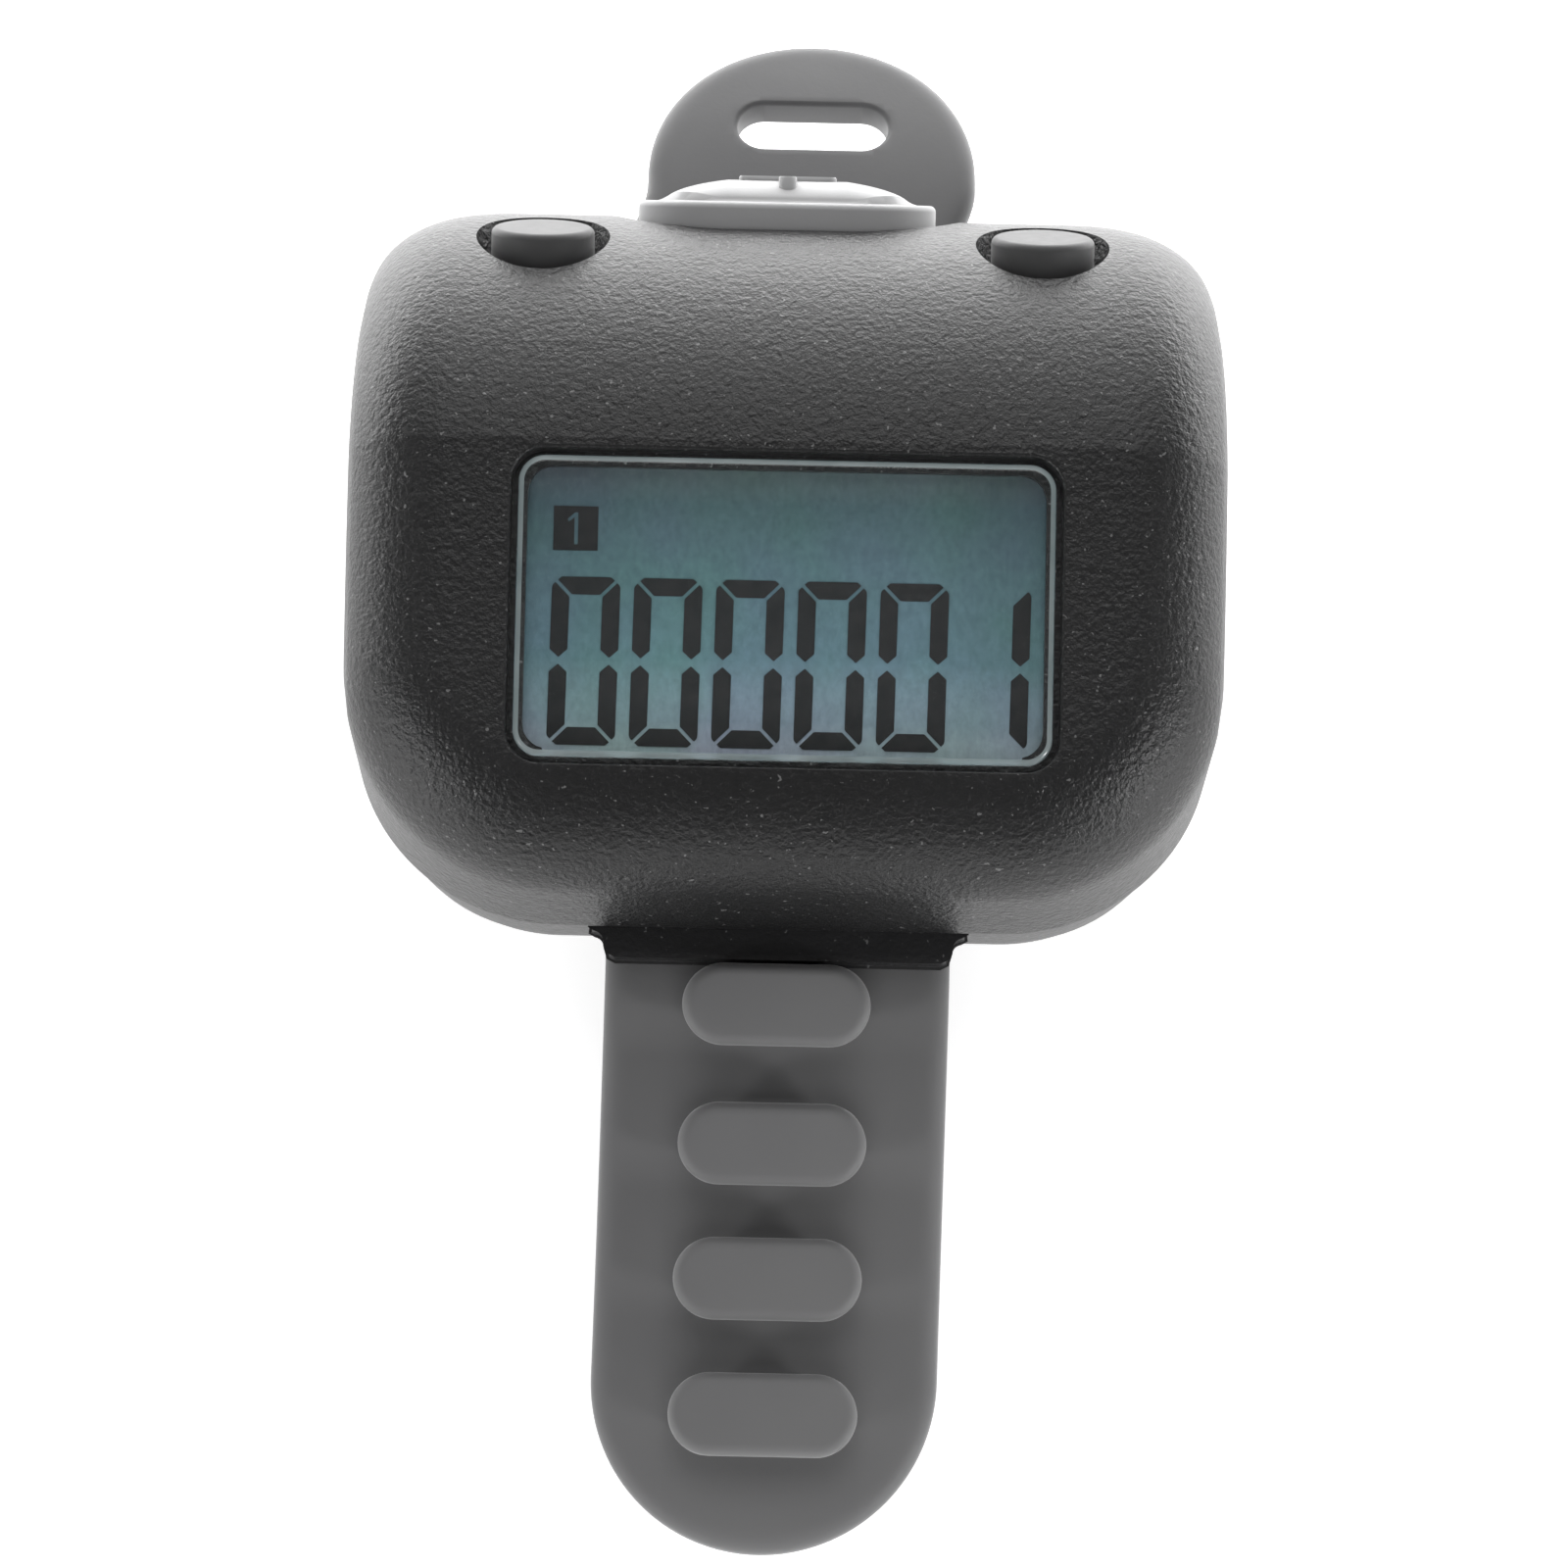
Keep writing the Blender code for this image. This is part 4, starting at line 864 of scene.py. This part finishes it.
def build_display():
    def outline(grow):
        return rounded_rectangle(PANEL[0] + 2 * grow, PANEL[1] + 2 * grow, 0.3 * MM, (0, LENS_MIDDLE), 4)

    back = stacked(outline, [(-0.1 * MM, -3.5 * MM), (0, -3.4 * MM), (0, PANEL_TOP - 0.15 * MM),
                             (-0.1 * MM, PANEL_TOP - 0.08 * MM)])
    piece("display_back", back, LIQUID, ["display_panel"], sharp=30, local=FACE)
    low = PANEL_TOP - 0.07 * MM
    high = PANEL_TOP - 0.05 * MM
    segments = digit_segments()
    for index, figure in enumerate("000001"):
        left = DIGIT_LEFT + index * DIGIT_PITCH
        bars = []
        for bar in FIGURES[figure]:
            points = [(left + x + (y - DIGIT[1] / 2) * DIGIT_LEAN, DIGIT_BOTTOM + y)
                      for x, y in segments[bar]]
            bars.append(prism(points, low, high))
        piece(f"figure_{index + 1}", joined(bars), INK, weighted=False, local=FACE)
    x0, y0 = SIGN_LOW
    x1, y1 = x0 + SIGN_SIZE, y0 + SIGN_SIZE
    body = prism([(x0, y0), (x1, y0), (x1, y1), (x0, y1)], low, high)
    one = [(0.94, 0.28), (1.1, 0.28), (1.1, 1.72), (0.96, 1.72), (0.62, 1.42), (0.68, 1.3), (0.94, 1.5)]
    figure = [(x0 + x * MM, y0 + y * MM) for x, y in one]
    stem = prism(figure, low - 0.1 * MM, high + 0.1 * MM)
    piece("mode_sign", boolean(body, stem), INK, weighted=False, local=FACE)


# ---------------------------------------------------------------- keys


def build_small_keys():
    radius = KEY_RADIUS
    round_edge = 0.32 * MM
    crown = 0.02 * MM
    top = KEY_TOP - crown
    profile = [(3.0 * MM, -3.6 * MM), (3.0 * MM, -3.0 * MM), (radius, -3.0 * MM), (radius, top - round_edge)]
    profile += arc((radius - round_edge, top - round_edge), round_edge, 8, 90, 7)
    profile += [(radius * 0.6, top + crown * 0.6), (radius * 0.3, top + crown * 0.9),
                (0.05 * MM, top + crown)]
    for name, place in KEYS.items():
        piece(f"{name}_key", lathe(profile, matrix=place), KEY_RUBBER, [f"{name}_button"],
              f"{name}_key", sharp=50)


def build_count_button():
    """The button: a collar with a rounded rim, a dome that rises from it, and a raised plus on the dome."""
    edge = 0.3 * MM
    foot = (COUNT_COLLAR[1] - COUNT_DOME[1]) / 2
    loops = [raised(stadium(COUNT_COLLAR), -2.3 * MM), raised(stadium(COUNT_COLLAR), COUNT_COLLAR_TOP - edge)]
    for angle in np.radians((18, 36, 54, 72, 90)):
        grow = -edge + edge * math.cos(angle)
        loops.append(raised(stadium(COUNT_COLLAR, grow), COUNT_COLLAR_TOP - edge + edge * math.sin(angle)))
    loops.append(raised(stadium(COUNT_COLLAR, -foot + 0.22 * MM), COUNT_COLLAR_TOP))
    loops.append(raised(stadium(COUNT_COLLAR, -foot + 0.08 * MM), COUNT_COLLAR_TOP + 0.04 * MM))
    steps = 16
    foot_z = COUNT_COLLAR_TOP + 0.08 * MM
    for step in range(1, steps + 1):
        inset = COUNT_DOME[1] / 2 * (1 - math.cos(math.pi / 2 * step / steps)) * 0.985
        loop = []
        for x, y in stadium(COUNT_DOME, -inset):
            fall = (1 - (2 * abs(x) / COUNT_DOME[0]) ** 2) * (1 - (2 * abs(y) / COUNT_DOME[1]) ** 2)
            loop.append((x, y, foot_z + (COUNT_DOME_TOP - foot_z) * max(fall, 0.0) ** 0.6))
        loops.append(loop)
    base = loft(loops)
    for size in ((2 * PLUS_REACH, 2 * PLUS_ARM), (2 * PLUS_ARM, 2 * PLUS_REACH)):
        profile = [(0, 0.6 * MM), (0, COUNT_DOME_TOP - 0.04 * MM), (-0.06 * MM, COUNT_DOME_TOP + 0.04 * MM)]
        loops = []
        for grow, z in profile:
            width, height = size[0] + 2 * grow, size[1] + 2 * grow
            bar = rounded_rectangle(width, height, PLUS_ARM * 0.9 + grow, steps=5)
            loops.append(raised(bar, z))
        base = boolean(base, loft(loops), "UNION")
    flange = prism(rounded_rectangle(16.2 * MM, 6.2 * MM, 1.5 * MM), -2.9 * MM, -2.2 * MM)
    base = boolean(base, flange, "UNION")
    base.transform(COUNT)
    piece("count_cap", base, COUNT_RUBBER_PAINTED_BRIGHT, ["count_button"], "count_key", sharp=40)


# ---------------------------------------------------------------- strap


def strap_path(sign, pivot_y, dip, straight, bend, s):
    """(y, z, dip) at s along a strap that runs straight from its pivot and then bends evenly."""
    lead = min(s, straight)
    y = lead * math.cos(dip)
    z = -lead * math.sin(dip)
    turned_dip = dip - bend * max(s - straight, 0.0)
    y += (math.sin(dip) - math.sin(turned_dip)) / bend
    z -= (math.cos(turned_dip) - math.cos(dip)) / bend
    return pivot_y + sign * y, STRAP_Z + z, turned_dip


def front_path(s):
    return strap_path(-1, FRONT_PIVOT_Y, FRONT_DIP, FRONT_STRAIGHT, FRONT_BEND, s)


def rear_path(s):
    return strap_path(1, REAR_PIVOT_Y, REAR_DIP, REAR_STRAIGHT, REAR_BEND, s)


def lateral(path, s):
    """How far the strap wanders sideways at s."""
    if path is rear_path:
        share = min(max((s + 1.5 * MM) / (3.5 * MM), 0.0), 1.0)
        return 0.85 * MM * share * share * (3 - 2 * share)
    return -0.35 * MM * max(s / FRONT_LENGTH, 0.0) ** 1.2


def ease(path, sign, s):
    """(y, z, dip) at s, running level into the housing behind the pivot with a soft bend."""
    soft = 1.6 * MM
    y0, z0, _ = path(0.0)
    if s >= soft:
        return path(s)
    if s <= -soft:
        return y0 + sign * s, z0, 0.0
    share = (s + soft) / (2 * soft)
    y1, z1, dip1 = path(soft)
    smooth = share * share * (3 - 2 * share)
    reach = 2 * soft
    h00 = 2 * share**3 - 3 * share**2 + 1
    h10 = share**3 - 2 * share**2 + share
    h01 = -2 * share**3 + 3 * share**2
    h11 = share**3 - share**2
    y = h00 * (y0 - sign * soft) + h10 * reach * sign + h01 * y1 + h11 * reach * sign * math.cos(dip1)
    z = h00 * z0 + h01 * z1 - h11 * reach * math.sin(dip1)
    return y, z, dip1 * smooth


def strap_mesh(path, sign, length, back):
    """The strap from so far back inside the housing to its round tip, with soft edges."""
    half = STRAP_WIDTH / 2
    tip_start = length - half
    stations = list(np.linspace(-back, tip_start, int((back + tip_start) / (0.45 * MM)) + 1))
    stations += [tip_start + half * math.sin(a) for a in np.linspace(0, math.pi / 2, 34)[1:] * 0.9975]
    across = np.sin(np.linspace(-math.pi / 2, math.pi / 2, 49))
    edge = 1.15 * MM
    power = 2.3

    def level(x, s):
        """Half the thickness there: full inside, and rounded off within the edge."""
        if s > tip_start:
            inside = half - math.hypot(x, s - tip_start)
        else:
            inside = half - abs(x)
        share = min(max(inside / edge, 0.0), 1.0)
        return STRAP_THICK / 2 * (1 - (1 - share) ** power) ** (1 / power)

    loops = []
    for s in stations:
        width = half if s <= tip_start else math.sqrt(max(half**2 - (s - tip_start) ** 2, 0.0))
        y, z, dip = ease(path, sign, s)
        up_y, up_z = sign * math.sin(dip), math.cos(dip)
        side = lateral(path, s)
        loop = []
        for x in across * width:
            t = level(x, s)
            loop.append((x + side, y + up_y * t, z + up_z * t))
        for x in across[-2:0:-1] * width:
            t = level(x, s)
            loop.append((x + side, y - up_y * t, z - up_z * t))
        loops.append(loop)
    return loft(loops)


def stud_mesh(matrix):
    """A mushroom stud on the strap: a waisted stem under a rounded cap."""
    root = STRAP_THICK / 2
    low = root + STUD_STEM_HEIGHT
    top = low + STUD_CAP_HEIGHT
    stem = (STUD_STEM[1] - STUD_CAP[1]) / 2
    edge = 0.55 * MM
    profile = [(stem + 0.05 * MM, root - 0.5 * MM), (stem + 0.45 * MM, root - 0.05 * MM),
               (stem + 0.2 * MM, root + 0.08 * MM), (stem + 0.05 * MM, root + 0.3 * MM),
               (stem, root + 0.6 * MM),
               (stem, low - 0.12 * MM), (stem + 0.1 * MM, low), (-0.2 * MM, low + 0.02 * MM),
               (-0.05 * MM, low + 0.12 * MM), (0.0, low + 0.3 * MM), (0.0, top - edge)]
    profile += arc((-edge, top - edge), edge, 15, 90, 5)
    profile += [(-0.9 * MM, top)]
    return stacked(lambda grow: stadium(STUD_CAP, grow), profile, matrix)


def build_front_strap():
    """The stud end with the strap's middle, from the housing's centre to the round tip."""
    front = strap_mesh(front_path, -1, FRONT_LENGTH, -FRONT_PIVOT_Y)
    for number in range(4):
        s = FRONT_LENGTH - STUD_FROM_TIP - STUD_PITCH * number
        y, z, dip = front_path(s)
        place = Matrix.Translation((lateral(front_path, s), y, z)) @ Matrix.Rotation(dip, 4, "X")
        front = boolean(front, stud_mesh(place), "UNION")
    front = piece("strap_stud_end", front, STRAP_RUBBER, ["strap_front", "strap_middle"],
                  body=None, sharp=50)
    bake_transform(front)


def build_rear_strap():
    """The slot end, from the housing's centre to the round tip."""
    rear = strap_mesh(rear_path, 1, REAR_LENGTH, REAR_PIVOT_Y)
    s = REAR_LENGTH - SLOT_FROM_TIP
    y, z, dip = rear_path(s)
    place = Matrix.Translation((lateral(rear_path, s), y, z)) @ Matrix.Rotation(-dip, 4, "X")
    edge = 0.3 * MM
    top = STRAP_THICK / 2
    rim = [(edge - edge * math.cos(a), top - edge + edge * math.sin(a)) for a in np.radians((0, 30, 60, 90))]
    rim += [(edge * 1.2, top + 0.02 * MM), (edge * 2, top + 1 * MM)]
    hole = [(grow, -height) for grow, height in reversed(rim)] + rim
    rear = boolean(rear, stacked(lambda grow: stadium(SLOT_SIZE, grow), hole, place))
    rear = piece("strap_slot_end", rear, STRAP_RUBBER, ["strap_rear"], body=None, sharp=50)
    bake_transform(rear)


# ---------------------------------------------------------------- screws


def build_screws():
    number = 0
    for x_sign in (-1, 1):
        for x, y in SCREW_PLACES:
            number += 1
            place = Matrix.Translation((x_sign * x, y, 0.15 * MM))
            head = [(1.2 * MM, 0.02 * MM), (1.38 * MM, 0.08 * MM), (1.52 * MM, 0.25 * MM),
                    (1.55 * MM, 0.45 * MM), (1.55 * MM, 1.15 * MM), (0.8 * MM, 1.15 * MM),
                    (0.8 * MM, 6.6 * MM), (0.2 * MM, 7.4 * MM)]
            screw = lathe(head, 40, place)
            for turn in (0.35, 0.35 + math.pi / 2):
                blade = box_mesh((-0.95 * MM, -0.16 * MM, -1 * MM), (0.95 * MM, 0.16 * MM, 0.6 * MM),
                                 place @ Matrix.Rotation(turn + number, 4, "Z"))
                screw = boolean(screw, blade)
            piece(f"housing_screw_{number}", screw, STEEL, [f"case_screw_{number}"], sharp=30)


# ---------------------------------------------------------------- studio


def build_floor():
    """A white floor that glows by itself, more strongly behind the counter than in front."""
    shape = bmesh.new()
    bmesh.ops.create_grid(shape, x_segments=1, y_segments=1, size=FLOOR_HALF)
    mesh = bpy.data.meshes.new("floor")
    shape.to_mesh(mesh)
    shape.free()
    m = Nodes("floor_paint")
    m.link(m.ramp(m.noise(6, 2.0), [(0.3, grey(0.86)), (0.7, grey(0.88))]), m.shader.inputs["Base Color"])
    where = m.new("SeparateXYZ")
    m.link(m.coordinates(), where.inputs["Vector"])
    glow = m.new("MapRange", interpolation_type="SMOOTHSTEP")
    glow.inputs["From Min"].default_value = GLOW_REACH[0]
    glow.inputs["From Max"].default_value = GLOW_REACH[1]
    glow.inputs["To Min"].default_value = FLOOR_GLOW[0]
    glow.inputs["To Max"].default_value = FLOOR_GLOW[1]
    m.link(where.outputs["Y"], glow.inputs["Value"])
    m.link(glow.outputs["Result"], m.shader.inputs["Emission Strength"])
    m.set(Roughness=0.8, Specular_IOR_Level=0.1, Emission_Color=(1, 1, 1, 1))
    mesh.materials.append(m.made)
    floor = bpy.data.objects.new("floor", mesh)
    floor.location = (0, 0, -0.02 * MM)
    bpy.context.scene.collection.objects.link(floor)


def build_world():
    """Light from all round, dim in front and bright behind."""
    world = bpy.data.worlds.new("studio")
    bpy.context.scene.world = world
    world.use_nodes = True
    background = world.node_tree.nodes["Background"]
    links = world.node_tree.links
    direction = world.node_tree.nodes.new("ShaderNodeTexCoord")
    parts = world.node_tree.nodes.new("ShaderNodeSeparateXYZ")
    links.new(direction.outputs["Generated"], parts.inputs["Vector"])
    across = world.node_tree.nodes.new("ShaderNodeValToRGB")
    across.color_ramp.elements[0].position = 0.0
    across.color_ramp.elements[0].color = (*grey(WORLD_FRONT), 1.0)
    across.color_ramp.elements[1].position = 0.75
    across.color_ramp.elements[1].color = (*grey(WORLD_BACK), 1.0)
    links.new(parts.outputs["Y"], across.inputs["Fac"])
    links.new(across.outputs["Color"], background.inputs["Color"])


def build_lamps():
    """The lamps; the fill from the front is kept out of reflections."""
    for name, size, power, place, target in LAMPS:
        light = bpy.data.lights.new(name, "AREA")
        light.shape = "RECTANGLE"
        light.size, light.size_y = size
        light.energy = power
        lamp = bpy.data.objects.new(name, light)
        lamp.location = place
        aim = Vector(target) - Vector(place)
        lamp.rotation_euler = aim.to_track_quat("-Z", "Y").to_euler()
        lamp.visible_glossy = name != FILL_LAMP
        bpy.context.scene.collection.objects.link(lamp)


def camera():
    """The camera, in front of the stud end and high above the display, turned a little about its axis."""
    away = Vector((0, -math.cos(ELEVATION), math.sin(ELEVATION)))
    data = bpy.data.cameras.new("camera")
    data.lens_unit = "FOV"
    data.angle = FIELD_OF_VIEW
    data.clip_start = 0.01
    made = bpy.data.objects.new("camera", data)
    turn = (-away).to_track_quat("-Z", "Y").to_matrix().to_4x4()
    place = Matrix.Translation(TARGET + ORIGIN + away * DISTANCE)
    made.matrix_world = place @ turn @ Matrix.Rotation(ROLL, 4, "Z")
    bpy.context.scene.collection.objects.link(made)
    bpy.context.scene.camera = made
    bpy.context.scene.view_settings.view_transform = "Standard"


camera()
build_front_shell()
build_bottom_shell()
build_lens()
build_display()
build_small_keys()
build_count_button()
build_front_strap()
build_rear_strap()
build_screws()
build_floor()
build_world()
build_lamps()
